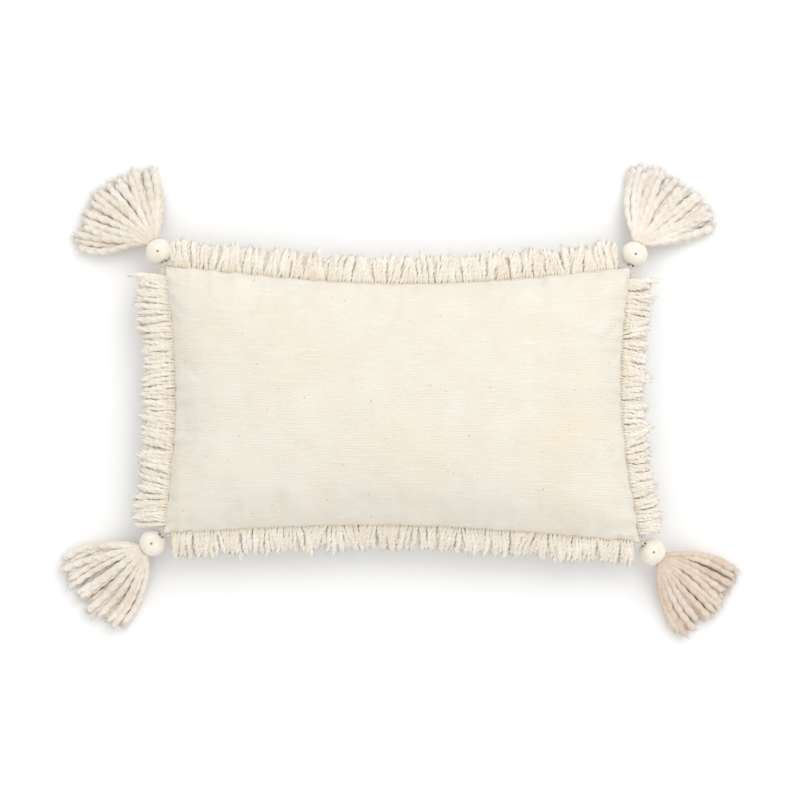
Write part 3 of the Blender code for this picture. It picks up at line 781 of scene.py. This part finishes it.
def chain_ring():
    """One flat link: a small ring, drawn out crosswise."""
    bpy.ops.object.select_all(action="DESELECT")
    bpy.ops.mesh.primitive_torus_add(major_segments=9, minor_segments=4, major_radius=1.45 * MM,
                                     minor_radius=0.62 * MM)
    bpy.ops.object.transform_apply(location=True, rotation=True, scale=True)
    return bpy.context.object


def copy_shape(name, master, spots, ways_x, ways_y, ways_z, tints):
    """Copies a small mesh to many spots, turned onto the given directions, as one mesh."""
    shape = points_of(master)
    placed = (spots[:, None, :] + shape[None, :, 0:1] * ways_x[:, None, :]
              + shape[None, :, 1:2] * ways_y[:, None, :] + shape[None, :, 2:3] * ways_z[:, None, :])
    source = master.data.uv_layers.active.data
    one = np.array([item.uv for item in source]) * np.array([9.0 * MM, 1.0])
    mapping = np.tile(one[:, ::-1], (len(spots), 1))
    obj = copies_of(name, master, placed, mapping, tints, np.full(len(shape), 0.6))
    bpy.ops.object.shade_smooth()
    return obj


link = chain_ring()
for number, side in enumerate(SIDES):
    chance = np.random.default_rng(40 + number)
    parts = []
    for row, offset in ((0, 0.9 * MM), (1, 3.0 * MM)):
        places = spaced(side, LINK_PITCH, 6 * MM)
        spots, out, along = seam(side, places)
        flip = 1 if row else -1
        lean = math.radians(32 * flip)
        way_x = out * math.cos(lean) * 1.25 + along * math.sin(lean) * 1.25
        way_y = along * math.cos(lean) * 0.95 - out * math.sin(lean) * 0.95
        way_z = np.cross(way_x, way_y)
        way_z /= np.linalg.norm(way_z, axis=1, keepdims=True)
        rise = chance.normal(0, 0.18 * MM, len(places))
        spots = spots + out * offset + np.array((0, 0, 1)) * (0.7 * MM + rise)[:, None]
        spots = spots + along * (LINK_PITCH / 2 * row)
        parts.append(copy_shape(f"links_{side}_{row}", link, spots, way_x, way_y, way_z,
                                chance.random(len(places))))
    header = join(f"header_{side}", parts)
    paint(header, header_yarn)
    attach(header, "cushion")
drop(link)
print("four headers of chain stitches")

# %% [markdown]
# ## The tape inside the seam
# Under the chain lies the woven tape that everything is sewn to. It's a long thin strip that follows
# the seam: a grid moved onto the seam line and given its thickness by Solidify.

# %% Sewn-in tapes
def tape_strip(side):
    bpy.ops.object.select_all(action="DESELECT")
    bpy.ops.mesh.primitive_grid_add(x_subdivisions=80, y_subdivisions=4, size=2)
    strip = bpy.context.object
    strip.name = f"tape_{side}"
    flat = points_of(strip)
    half = half_length if side in ("top", "bottom") else half_width
    last = 1 - 6 * MM / half
    spots, out, _ = seam(side, flat[:, 0] * last)
    reach = np.interp(flat[:, 1], [-1, 1], [-8.5 * MM, 3.8 * MM])
    move_points(strip, spots + out * reach[:, None])
    wall = strip.modifiers.new("Thickness", "SOLIDIFY")
    wall.thickness = 0.9 * MM
    wall.offset = 0
    apply_modifiers(strip)
    face_outwards(strip)
    return strip


tape_look, tape_tree, tape_shader = new_material("woven_tape", 0.9, Sheen_Weight=0.2)
tape_here = add(tape_tree, "ShaderNodeTexCoord").outputs["Object"]
tape_noise = add(tape_tree, "ShaderNodeTexNoise", {"Scale": 700.0, "Detail": 3.0}, {"Vector": tape_here})
tape_tree.links.new(mix(tape_tree, tape_noise.outputs["Fac"], "ddd2bd", "ebe3d4"),
                    tape_shader.inputs["Base Color"])
bump(tape_tree, tape_shader, tape_noise.outputs["Fac"], 0.3 * MM)
for side in SIDES:
    strip = tape_strip(side)
    paint(strip, tape_look)
    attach(strip, "cushion")
    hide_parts(f"fringe_tape_{side}")
print("four tapes")

# %% [markdown]
# ## The brush fringe
# The yarns leave the chain side by side, but they don't stay even: they lean on each other in small
# tufts, with dark gaps between, and their cut ends open into fluff. So each yarn has its own lean, its
# own length, and a share in the nearest tuft. Two layers lie over each other, and every end carries a
# few loose fibres.

# %% Fringe paths
FRINGE_RINGS = 7


def fringe_reach(side, spots):
    """How far the ends stand out from the seam, in metres. They are uneven along each side."""
    low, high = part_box(f"fringe_yarn_{side}")
    edge = {"top": high.y, "bottom": -low.y, "left": -low.x, "right": high.x}[side]
    level = spots[:, 1] if side in ("top", "bottom") else spots[:, 0]
    outside = edge - abs(level)
    base = {"top": 25 * MM, "bottom": 23 * MM, "left": 30 * MM, "right": 23 * MM}[side]
    return np.clip(outside, base * 0.85, base * 1.12)


def fringe_paths(side, layer, chance):
    places = spaced(side, YARN_PITCH, FRINGE_MARGIN)
    places = places + chance.normal(0, 0.0018, len(places))
    spots, out, along = seam(side, places)
    level = (spots @ np.array((1, 0, 0))) if side in ("top", "bottom") else spots[:, 1]
    tuft = 13 * MM
    cell = np.floor(level / tuft)
    centre = (cell + 0.5) * tuft + 2.5 * MM * np.sin(cell * 12.9898)
    gather = (centre - level) * 0.26
    lean = waves(level, 60 + layer + len(side), 150 * MM, 38 * MM, 8) * math.radians(12)
    lean += np.sin(cell * 78.233 + layer) * math.radians(5) + chance.normal(0, math.radians(5), len(places))
    reach = fringe_reach(side, spots) * (1 + chance.normal(0, 0.055, len(places)))
    reach *= 1 + 0.06 * waves(level, 80 + len(side), 90 * MM, 30 * MM, 6)
    if layer:
        reach *= 0.93
    reach = reach * np.where(chance.random(len(places)) < 0.04, 1.22, 1.0)
    rings = np.linspace(0, 1, FRINGE_RINGS)[None, :]
    sideways = gather[:, None] * np.sin(rings * math.pi * 0.75) * (1 - 0.25 * rings)
    sideways = sideways + np.tan(lean)[:, None] * rings * reach[:, None]
    sideways = sideways + 0.9 * MM * np.sin(rings * 5 + chance.random(len(places))[:, None] * 6) * rings
    outward = -2.0 * MM + rings * (reach[:, None] + 0.5 * MM)
    drop_z = -8 * MM * rings ** 2 * (0.75 + 0.5 * chance.random(len(places))[:, None])
    rise = (2.9 if layer == 0 else -0.6) * MM * (1 - 0.3 * rings) + 1.2 * MM * np.sin(rings * 3)
    height = drop_z + rise + chance.normal(0, 0.5 * MM, len(places))[:, None] * rings
    paths = (spots[:, None, :] + out[:, None, :] * outward[..., None]
             + along[:, None, :] * sideways[..., None])
    paths[..., 2] += height
    return paths


print("fringe paths ready")


# %% Loose fibres at cut ends
def ends_of(paths, radii, each, length, spread, chance):
    """Short thin fibres that leave the ends of yarns, spread about the way that the yarns point."""
    copies = len(paths)
    tip = np.repeat(paths[:, -1], each, axis=0)
    back = np.repeat(paths[:, -2], each, axis=0)
    way = tip - back
    way /= np.maximum(np.linalg.norm(way, axis=1, keepdims=True), 1e-9)
    stray = chance.normal(0, spread, (copies * each, 3)) * np.array((1, 1, 0.6))
    start = tip - way * 3 * MM + stray * 0.6 * np.repeat(radii[:, -1], each)[:, None]
    reach = length * (0.5 + chance.random(copies * each))[:, None]
    bend = chance.normal(0, spread * 0.6, (copies * each, 3)) * np.array((1, 1, 0.5))
    steps = np.linspace(0, 1, 4)[None, :, None]
    along = (way + stray * 0.55)[:, None, :] * steps + bend[:, None, :] * steps ** 2
    return start[:, None, :] + along * reach[:, None, :]


def bundle(rod, paths, radii, twists, each, length, spread, thickest, chance):
    """Yarns on their paths, and loose fibres at the cut ends, which never go below the surface."""
    yarns = lay("yarns", rod, paths, radii, chance.random(len(paths)), twists)
    loose = ends_of(paths, radii, each, length, spread, chance)
    loose[..., 2] = np.maximum(loose[..., 2], 0.6 * MM)
    thin = np.linspace(thickest, 0.12 * MM, 4)[None, :] * np.ones((len(loose), 1))
    fibres = lay("fibres", fibre_rod, loose, thin, 0.5 + 0.5 * chance.random(len(loose)))
    fibres.data.attributes["along"].data.foreach_set("value", np.full(len(fibres.data.vertices), 0.95))
    return [yarns, fibres]


print("fibre ends ready")

# %% Lay the fringe
fringe_yarn = cotton_yarn("brush_cotton", "f4ecdf", "fcf8f0", "dfcdae", 1.9 * MM, 2, 0.25)
thin_rod = straight_yarn("thin_rod", 6, FRINGE_RINGS - 1, 0.12)
fibre_rod = straight_yarn("fibre_rod", 3, 3)
for number, side in enumerate(SIDES):
    parts = []
    for layer in (0, 1):
        chance = np.random.default_rng(200 + 10 * number + layer)
        paths = fringe_paths(side, layer, chance)
        count = len(paths)
        rings = np.linspace(0, 1, FRINGE_RINGS)
        profile = np.interp(rings, [0, 0.15, 0.6, 0.9, 1], [2.0, 2.5, 3.1, 3.1, 2.0]) * MM
        radii = profile[None, :] * (0.85 + 0.35 * chance.random(count))[:, None]
        twists = np.linspace(0, 5, FRINGE_RINGS)[None, :] + chance.random(count)[:, None] * 6
        parts += bundle(thin_rod, paths, radii, twists, 9, 2.4 * MM, 0.8, 0.34 * MM, chance)
    fringe = join(f"fringe_{side}", parts)
    paint(fringe, fringe_yarn)
    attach(fringe, "cushion")
    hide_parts(f"fringe_yarn_{side}")
    print(side, len(fringe.data.polygons), "faces")
drop(thin_rod)

# %% [markdown]
# ## Tassels
# Each tassel hangs by a short cord from its corner. A round head covers the fold of the yarns, a thread
# ties them under the head, and below that they fan out. The frame says where each tassel hinges and
# which way its head points. The yarns leave the neck as one bundle, turn into their own directions and
# come down to lie on the surface.

# %% Sizes of a tassel
HEAD_RADIUS = 13 * MM
HEAD_REACH = 15 * MM        # from the hinge to the middle of the head
TIE_REACH = HEAD_REACH + 11.05 * MM
NECK_REACH = HEAD_REACH + 12.25 * MM
NECK_RADIUS = 7.5 * MM
LEAN = math.radians(20)     # the head leans down this far from level
LANDING = 0.85              # share of its length at which a yarn comes to rest on the surface
YARN_THICK = 3.3 * MM       # radius of a yarn, for stacking the layers

# corner: turn of the fan from the head's way, half its spread (degrees), length, yarns in each layer,
# and how much the fan swells below its neck and draws in again
FANS = {
    "top_left": (19, 41, 85 * MM, (15, 14, 12), 0.2),
    "top_right": (-17, 38, 88 * MM, (15, 14, 12), 0.25),
    "bottom_left": (0, 27, 93 * MM, (12, 12, 11), 0.9),
    "bottom_right": (-6, 28, 89 * MM, (12, 12, 11), 0.8),
}


def to_room(name, local):
    """Turns points of a tassel's own space, X along its head's way and Z up, into the room's."""
    way = np.array(headings[name])
    cross = np.array((-way[1], way[0], 0.0))
    origin = np.array(pivots[name])
    return origin + local[..., 0:1] * way + local[..., 1:2] * cross + local[..., 2:3] * np.array((0, 0, 1.0))


print({name: fan[3] for name, fan in FANS.items()})

# %% Paths of a tassel's yarns
TASSEL_RINGS = 37


def tassel_paths(name, layer, chance):
    turn, spread, length, counts, swell = FANS[name]
    turn, spread = math.radians(turn), math.radians(spread)
    count = counts[layer]
    layers = len(counts)
    place = np.linspace(-1, 1, count) + chance.normal(0, 0.35 / count, count)
    if layer:
        place = place * (1 - 0.6 / count)
    lengths = length * (1 + chance.normal(0, 0.035, count)) * (1 - 0.03 * layer)
    floor = -pivots[name].z
    neck_x = NECK_REACH * math.cos(LEAN)
    neck_z = -NECK_REACH * math.sin(LEAN)
    q = np.linspace(0, 1, TASSEL_RINGS)[None, :]
    reach = q * lengths[:, None]
    opened = np.clip(q / 0.3, 0, 1)
    opened = opened * opened * (3 - 2 * opened)
    curl = chance.normal(0, math.radians(6), count)[:, None]
    phase = chance.random(count)[:, None] * 2 * math.pi
    wander = curl * np.sin(q * math.pi * 1.6 + phase) * opened
    straight = np.interp(q, [0, 0.1, 0.4, 0.75, 1], [0.5, 0.95, 1.0, 1.0, 0.9])
    bulging = np.interp(q, [0, 0.08, 0.25, 0.6, 0.85, 1], [0.9, 2.3, 1.6, 0.98, 0.5, 0.1])
    fan = straight * (1 - swell) + bulging * swell
    angle = (turn + spread * place[:, None] * fan) * np.clip(q / 0.12, 0.4, 1) + wander
    step = np.diff(reach, axis=1)
    still = np.zeros((count, 1))
    forward = np.concatenate([still, np.cumsum(step * np.cos(angle[:, 1:]), axis=1)], axis=1)
    sideways = np.concatenate([still, np.cumsum(step * np.sin(angle[:, 1:]), axis=1)], axis=1)
    level = np.linspace(1, -1, layers)[layer]
    bundle = NECK_RADIUS * 0.72 * math.sqrt(max(0.2, 1 - (0.75 * level) ** 2))
    x = neck_x - 3 * MM + forward
    y = place[:, None] * bundle + sideways
    landing = LANDING * length
    p = np.clip(reach / landing, 0, 1)
    rest = floor + YARN_THICK * 1.05
    middle = (neck_z * (2 * p ** 3 - 3 * p ** 2 + 1) - math.tan(LEAN) * landing * (p ** 3 - 2 * p ** 2 + p)
              + rest * (3 * p ** 2 - 2 * p ** 3))
    stack = (level + 1) / 2
    spread_z = NECK_RADIUS * 0.66 * level * (1 - opened) + opened * stack * YARN_THICK * 2.4
    z = middle + 1.1 * MM * (1 - opened) + spread_z + 0.7 * MM * np.sin(q * 9 + phase) * opened
    broad = 1 - 0.12 * swell
    profile = np.interp(q[0], [0, 0.06, 0.3, 0.6, 0.93, 0.98, 1.0],
                        [1.8, 2.3, 3.5, 4.4, 4.8, 4.2, 2.8]) * MM * broad
    radii = profile[None, :] * (0.9 + 0.2 * chance.random(count))[:, None]
    paths = np.stack([x, y, np.maximum(z, floor + 1.12 * radii)], axis=-1)
    twists = reach / (26 * MM) * 2 * math.pi + phase
    return to_room(name, paths), radii, twists


print("tassel paths ready")

# %% Lay the tassels
rope_rod = straight_yarn("rope_rod", 8, TASSEL_RINGS - 1, 0.1)
# The four tassels are one yarn. Each corner has its own copy of the yarn's colours, lighter or darker as
# painted light and shade; the bottom-right copy is the darkest and warmest, as painted shade.
TASSEL_TINTS_LIT_AND_SHADED = {
    "top_left": ("f7eee0", "fdf9f1", "d6b896"),
    "top_right": ("f9f1e5", "fefbf5", "d8bb9b"),
    "bottom_left": ("faf1e3", "fefaf2", "dabb97"),
    "bottom_right": ("ebddc9", "f6ecdd", "c08c66"),
}
for number, name in enumerate(CORNERS):
    parts = []
    chance = np.random.default_rng(500 + number)
    for layer in range(len(FANS[name][3])):
        paths, radii, twists = tassel_paths(name, layer, chance)
        parts += bundle(rope_rod, paths, radii, twists, 30, 2.5 * MM, 1.1, 0.36 * MM, chance)
    yarns = join(f"yarns_{name}", parts)
    tassel_look = cotton_yarn(f"tassel_cotton_{name}", *TASSEL_TINTS_LIT_AND_SHADED[name], 1.7 * MM, 2, 0.12)
    paint(yarns, tassel_look)
    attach(yarns, f"tassel_{name}")
    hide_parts(f"tassel_{name}_yarn")
    print(name, len(yarns.data.polygons), "faces")
drop(rope_rod)

# %% [markdown]
# ## Tassel heads
# The head is a ball of cotton thread wound over the fold, drawn tight into fine pleats that run from
# pole to pole, with an opening at each end: a small one for the cord and a wide one for the yarns. A
# sphere is cut open at its poles, its points are pushed in and out for the pleats, and Solidify gives
# it a wall.

# %% Head balls
def axes_of(name):
    """The head's own directions: along its axis, level across it, and the third."""
    way, level = headings[name], Vector((-headings[name].y, headings[name].x, 0))
    along = way * math.cos(LEAN) - Vector((0, 0, 1)) * math.sin(LEAN)
    return along, level, along.cross(level)


def head_ball(name):
    bpy.ops.object.select_all(action="DESELECT")
    bpy.ops.mesh.primitive_uv_sphere_add(segments=72, ring_count=28, radius=HEAD_RADIUS)
    ball = bpy.context.object
    ball.name = f"head_{name}"
    bpy.ops.object.mode_set(mode="EDIT")
    bpy.ops.mesh.select_all(action="DESELECT")
    bpy.ops.object.mode_set(mode="OBJECT")
    for vertex in ball.data.vertices:
        near_cord = vertex.co.z > HEAD_RADIUS * 0.992
        near_neck = vertex.co.z < -HEAD_RADIUS * 0.8
        vertex.select = near_cord or near_neck
    bpy.ops.object.mode_set(mode="EDIT")
    bpy.ops.mesh.delete(type="VERT")
    bpy.ops.object.mode_set(mode="OBJECT")
    shape = points_of(ball)
    turn = np.arctan2(shape[:, 1], shape[:, 0])
    height = shape[:, 2] / HEAD_RADIUS
    pleat = 0.12 * MM * np.cos(turn * 36) * (0.35 + height ** 2)
    lumps = np.array([noise.noise(Vector(point) * 110) for point in shape]) * 0.35 * MM
    shape *= (1 + (pleat + lumps) / HEAD_RADIUS)[:, None]
    shape[:, 2] *= 0.97
    along, level, third = (np.array(axis) for axis in axes_of(name))
    centre = np.array(pivots[name]) + along * HEAD_REACH
    # The sphere's +Z is its cord end, which points back along the axis to the hinge.
    placed = centre + shape[:, 0:1] * level + shape[:, 1:2] * third - shape[:, 2:3] * along
    move_points(ball, placed)
    wall = ball.modifiers.new("Wall", "SOLIDIFY")
    wall.thickness = 1.0 * MM
    wall.offset = -1
    apply_modifiers(ball)
    choose(ball)
    bpy.ops.object.shade_smooth()
    return ball


def head_cotton():
    material, tree, shader = new_material(
        "head_cotton", 0.82, Sheen_Weight=0.3, Sheen_Roughness=0.5, Specular_IOR_Level=0.3)
    here = add(tree, "ShaderNodeTexCoord").outputs["Object"]
    soft = add(tree, "ShaderNodeTexNoise", {"Scale": 130.0, "Detail": 3.0}, {"Vector": here})
    fine = add(tree, "ShaderNodeTexNoise", {"Scale": 1400.0, "Detail": 2.0}, {"Vector": here})
    colour = mix(tree, ramp(tree, soft.outputs["Fac"], 0.35, 0.65), "e9e3d6", "f3ece0")
    colour = mix(tree, math_node(tree, "MULTIPLY", fine.outputs["Fac"], 0.2), colour, "d8cdb9")
    tree.links.new(colour, shader.inputs["Base Color"])
    bump(tree, shader, fine.outputs["Fac"], 0.15 * MM)
    return material


head_look = head_cotton()
for name in CORNERS:
    ball = head_ball(name)
    paint(ball, head_look)
    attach(ball, f"tassel_{name}")
    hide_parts(f"tassel_{name}_head")
print("four heads of", len(ball.data.polygons), "faces")

# %% [markdown]
# ## Ties, cords and stitches
# A few turns of thread hold the yarns under the head, a small knotted cord links the head to its
# corner, and the end of the winding thread is sewn down through the head, which leaves one small
# stitch. The stitch is coloured brown as painted shade of the small hollow where it is sewn down. Each
# is wound from rings of thread.

# %% Turns of thread
def thread_ring(major, minor, centre, along, level, third, segments=28):
    """One turn of thread round an axis."""
    bpy.ops.object.select_all(action="DESELECT")
    bpy.ops.mesh.primitive_torus_add(major_segments=segments, minor_segments=8, major_radius=major,
                                     minor_radius=minor)
    ring = bpy.context.object
    shape = points_of(ring)
    placed = (np.array(centre) + shape[:, 0:1] * np.array(level) + shape[:, 1:2] * np.array(third)
              + shape[:, 2:3] * np.array(along))
    ring.matrix_world.identity()
    move_points(ring, placed)
    face_outwards(ring)
    bpy.ops.object.shade_smooth()
    return ring


def thread_material(name, colour, deep):
    material, tree, shader = new_material(name, 0.85, Sheen_Weight=0.2, Specular_IOR_Level=0.3)
    here = add(tree, "ShaderNodeTexCoord").outputs["Object"]
    fine = add(tree, "ShaderNodeTexNoise", {"Scale": 1600.0, "Detail": 2.0}, {"Vector": here})
    tree.links.new(mix(tree, ramp(tree, fine.outputs["Fac"], 0.35, 0.7), deep, colour),
                   shader.inputs["Base Color"])
    bump(tree, shader, fine.outputs["Fac"], 0.2 * MM)
    return material


tie_look = thread_material("tie_thread", "e3d9c6", "bda988")
cord_look = thread_material("cord_thread", "f1e9da", "dccfb5")
# The stitch's brown is painted shade of the small hollow where it is sewn down.
stitch_shade_look = thread_material("stitch_painted_shade", "a38a70", "7d664e")
print("thread materials ready")

# %% Ties, cords and stitches on every tassel
for name in CORNERS:
    along, level, third = axes_of(name)
    hinge = pivots[name]
    turns = []
    for step in range(4):
        centre = hinge + along * (TIE_REACH + (step - 1.5) * 0.62 * MM)
        tilt = (along + level * 0.06 * (-1) ** step).normalized()
        turns.append(thread_ring(NECK_RADIUS + 0.55 * MM, 0.5 * MM, centre, tilt, level, third))
    tie = join(f"tie_{name}", turns)
    paint(tie, tie_look)
    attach(tie, f"tassel_{name}")
    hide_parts(f"tassel_{name}_tie")

    up = Vector((0, 0, 1))
    knots = [
        thread_ring(1.15 * MM, 0.52 * MM, hinge, along, level, third, 14),
        thread_ring(1.1 * MM, 0.5 * MM, hinge, level, third, along, 14),
        thread_ring(1.0 * MM, 0.5 * MM, hinge, up, level, level.cross(up), 14),
    ]
    knot = join(f"cord_{name}", knots)
    paint(knot, cord_look)
    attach(knot, f"cord_{name}")
    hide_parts(f"tassel_{name}_cord")

    top = (-third if third.z < 0 else third) * 0.88 - along * 0.35
    spot = hinge + along * HEAD_REACH + top.normalized() * (HEAD_RADIUS + 0.8 * MM)
    stitch = join(f"stitch_{name}", [
        thread_ring(0.8 * MM, 0.6 * MM, spot, top.normalized(), level, top.normalized().cross(level), 12)])
    paint(stitch, stitch_shade_look)
    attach(stitch, f"tassel_{name}")

    collar = join(f"collar_{name}", [
        thread_ring(1.0 * MM, 0.75 * MM, hinge + along * 2.7 * MM, along, level, third, 16)])
    paint(collar, cord_look)
    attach(collar, f"tassel_{name}")
print("ties, cords and stitches made")

# %% [markdown]
# ## The zip
# The cover comes off for washing through a zip in its back. It's a reversed coil zip: the coil faces
# the insert, and outside only the tapes, the slider and its pull show. One loop of the coil is a small
# ring, copied along both rows. The metal pieces keep the frame's own shapes.

# %% Coil and tapes of the zip
loop_pitch = 1.5 * MM
bpy.ops.object.select_all(action="DESELECT")
bpy.ops.mesh.primitive_torus_add(major_segments=8, minor_segments=4, major_radius=0.62 * MM,
                                 minor_radius=0.16 * MM)
loop = bpy.context.object
for row in ("upper", "lower"):
    low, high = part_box(f"zip_coil_{row}")
    middle = (low + high) / 2
    count = int((high.x - low.x) / loop_pitch)
    spots = np.tile(np.array(middle), (count, 1))
    spots[:, 0] = low.x + (np.arange(count) + 0.5) * loop_pitch
    lean = math.radians(14 if row == "upper" else -14)
    way_x = np.tile((math.sin(lean) * 1.25, math.cos(lean) * 1.25, 0), (count, 1))
    way_y = np.tile((0, 0, 1.0), (count, 1))
    way_z = np.cross(way_x, way_y)
    coil = copy_shape(f"coil_{row}", loop, spots, way_x, way_y, way_z, np.full(count, 0.5))
    coil_look, coil_tree, coil_shader = new_material(f"coil_nylon_{row}", 0.4, Coat_Weight=0.15)
    coil_here = add(coil_tree, "ShaderNodeTexCoord").outputs["Object"]
    coil_noise = add(coil_tree, "ShaderNodeTexNoise", {"Scale": 300.0}, {"Vector": coil_here})
    coil_tree.links.new(mix(coil_tree, coil_noise.outputs["Fac"], "e4dccb", "f3eee3"),
                        coil_shader.inputs["Base Color"])
    coil.data.materials.append(coil_look)
    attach(coil, "cushion")
    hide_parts(f"zip_coil_{row}")
drop(loop)


def zip_tape(row):
    low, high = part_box(f"zip_tape_{row}")
    size, middle = high - low, (low + high) / 2
    bpy.ops.object.select_all(action="DESELECT")
    bpy.ops.mesh.primitive_cube_add(size=1)
    band = bpy.context.object
    band.name = f"zip_band_{row}"
    shape = points_of(band)
    move_points(band, shape * np.array(size) + np.array(middle))
    choose(band)
    bpy.ops.object.mode_set(mode="EDIT")
    bpy.ops.mesh.select_all(action="SELECT")
    bpy.ops.mesh.bevel(offset=0.2 * MM, segments=2, affect="EDGES")
    bpy.ops.object.mode_set(mode="OBJECT")
    return band


band_look, band_tree, band_shader = new_material("zip_webbing", 0.75, Sheen_Weight=0.15)
band_here = add(band_tree, "ShaderNodeTexCoord").outputs["Object"]
band_rib = add(band_tree, "ShaderNodeTexWave", {"Scale": band_scale(0.9 * MM), "Distortion": 0.3},
               {"Vector": band_here}, bands_direction="X")
band_tree.links.new(mix(band_tree, band_rib.outputs["Fac"], "ddd3c0", "efe8da"),
                    band_shader.inputs["Base Color"])
bump(band_tree, band_shader, band_rib.outputs["Fac"], 0.12 * MM)
for row in ("upper", "lower"):
    band = zip_tape(row)
    paint(band, band_look)
    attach(band, "cushion")
    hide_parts(f"zip_tape_{row}")
print("zip coil of", count, "loops a row")

# %% Nickel pieces of the zip
def nickel():
    material, tree, shader = new_material("brushed_nickel", 0.32, Metallic=1.0)
    here = add(tree, "ShaderNodeTexCoord").outputs["Object"]
    drawn_out = add(tree, "ShaderNodeMapping", {"Scale": (60, 1500, 1500)}, {"Vector": here})
    brushed = add(tree, "ShaderNodeTexNoise", {"Scale": 1.0, "Detail": 4.0},
                  {"Vector": drawn_out.outputs["Vector"]})
    tree.links.new(mix(tree, brushed.outputs["Fac"], "a9a59c", "c9c6be"), shader.inputs["Base Color"])
    rough = add(tree, "ShaderNodeMapRange", {"To Min": 0.24, "To Max": 0.42},
                {"Value": brushed.outputs["Fac"]})
    tree.links.new(rough.outputs["Result"], shader.inputs["Roughness"])
    bump(tree, shader, brushed.outputs["Fac"], 0.02 * MM)
    return material


nickel_look = nickel()
for name in ("zip_slider", "zip_pull", "zip_top_stop_upper", "zip_top_stop_lower", "zip_bottom_stop"):
    node = frame["nodes"][name]
    paint(node, nickel_look)
print("nickel on the slider, pull and stops")

# %% [markdown]
# ## Floor, light and camera
# The pillow lies on a plain pale floor and is seen straight from above through a long lens, so that its
# outline isn't stretched. The light is large and soft, with a little more of it from the top right.

# %% Floor
drop(fibre_rod)
bpy.ops.object.select_all(action="DESELECT")
bpy.ops.mesh.primitive_plane_add(size=12, location=(0, 0, -0.2 * MM))
floor = bpy.context.object
floor.name = "floor"
floor_look, _, floor_shader = new_material("pale_floor", 0.9, Specular_IOR_Level=0.0)
floor_shader.inputs["Base Color"].default_value = (0.93, 0.93, 0.93, 1)
floor.data.materials.append(floor_look)
floor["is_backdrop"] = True
print("floor laid")

# %% Light
world = bpy.data.worlds.new("studio") if bpy.context.scene.world is None else bpy.context.scene.world
bpy.context.scene.world = world
world.use_nodes = True
world.node_tree.nodes["Background"].inputs["Color"].default_value = (1, 1, 1, 1)
world.node_tree.nodes["Background"].inputs["Strength"].default_value = 0.9


def soft_light(name, place, size, power):
    """A square area light that points at the pillow."""
    lamp = bpy.data.lights.new(name, "AREA")
    lamp.size = size
    lamp.energy = power
    obj = bpy.data.objects.new(name, lamp)
    obj.location = place
    obj.rotation_euler = (Vector((0, 0, 0.03)) - Vector(place)).to_track_quat("-Z", "Y").to_euler()
    bpy.context.scene.collection.objects.link(obj)


soft_light("key", (0.9, 1.5, 2.3), 1.8, 24)
soft_light("top", (-0.2, -0.2, 2.8), 3.0, 9)
print("two soft lights")

# %% Camera
camera_data = bpy.data.cameras.new("camera")
camera_data.lens = 85
camera_data.sensor_width = 36
camera = bpy.data.objects.new("camera", camera_data)
camera.location = (0, 0, 2.05)
camera.rotation_euler = (0, 0, 0)
bpy.context.scene.collection.objects.link(camera)
bpy.context.scene.camera = camera
bpy.context.scene.view_settings.view_transform = "Standard"
print("camera", round(camera.location.z, 2), "m above the floor")

# %% [markdown]
# ## Finish
# The size of what is shown is taken before and after, and both are printed.

# %% Sizes and finish
size_at_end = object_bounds()
for label, (low, high) in (("frame", size_at_start), ("looks", size_at_end)):
    print(label, [round((high[i] - low[i]) / MM, 1) for i in range(3)], "mm")
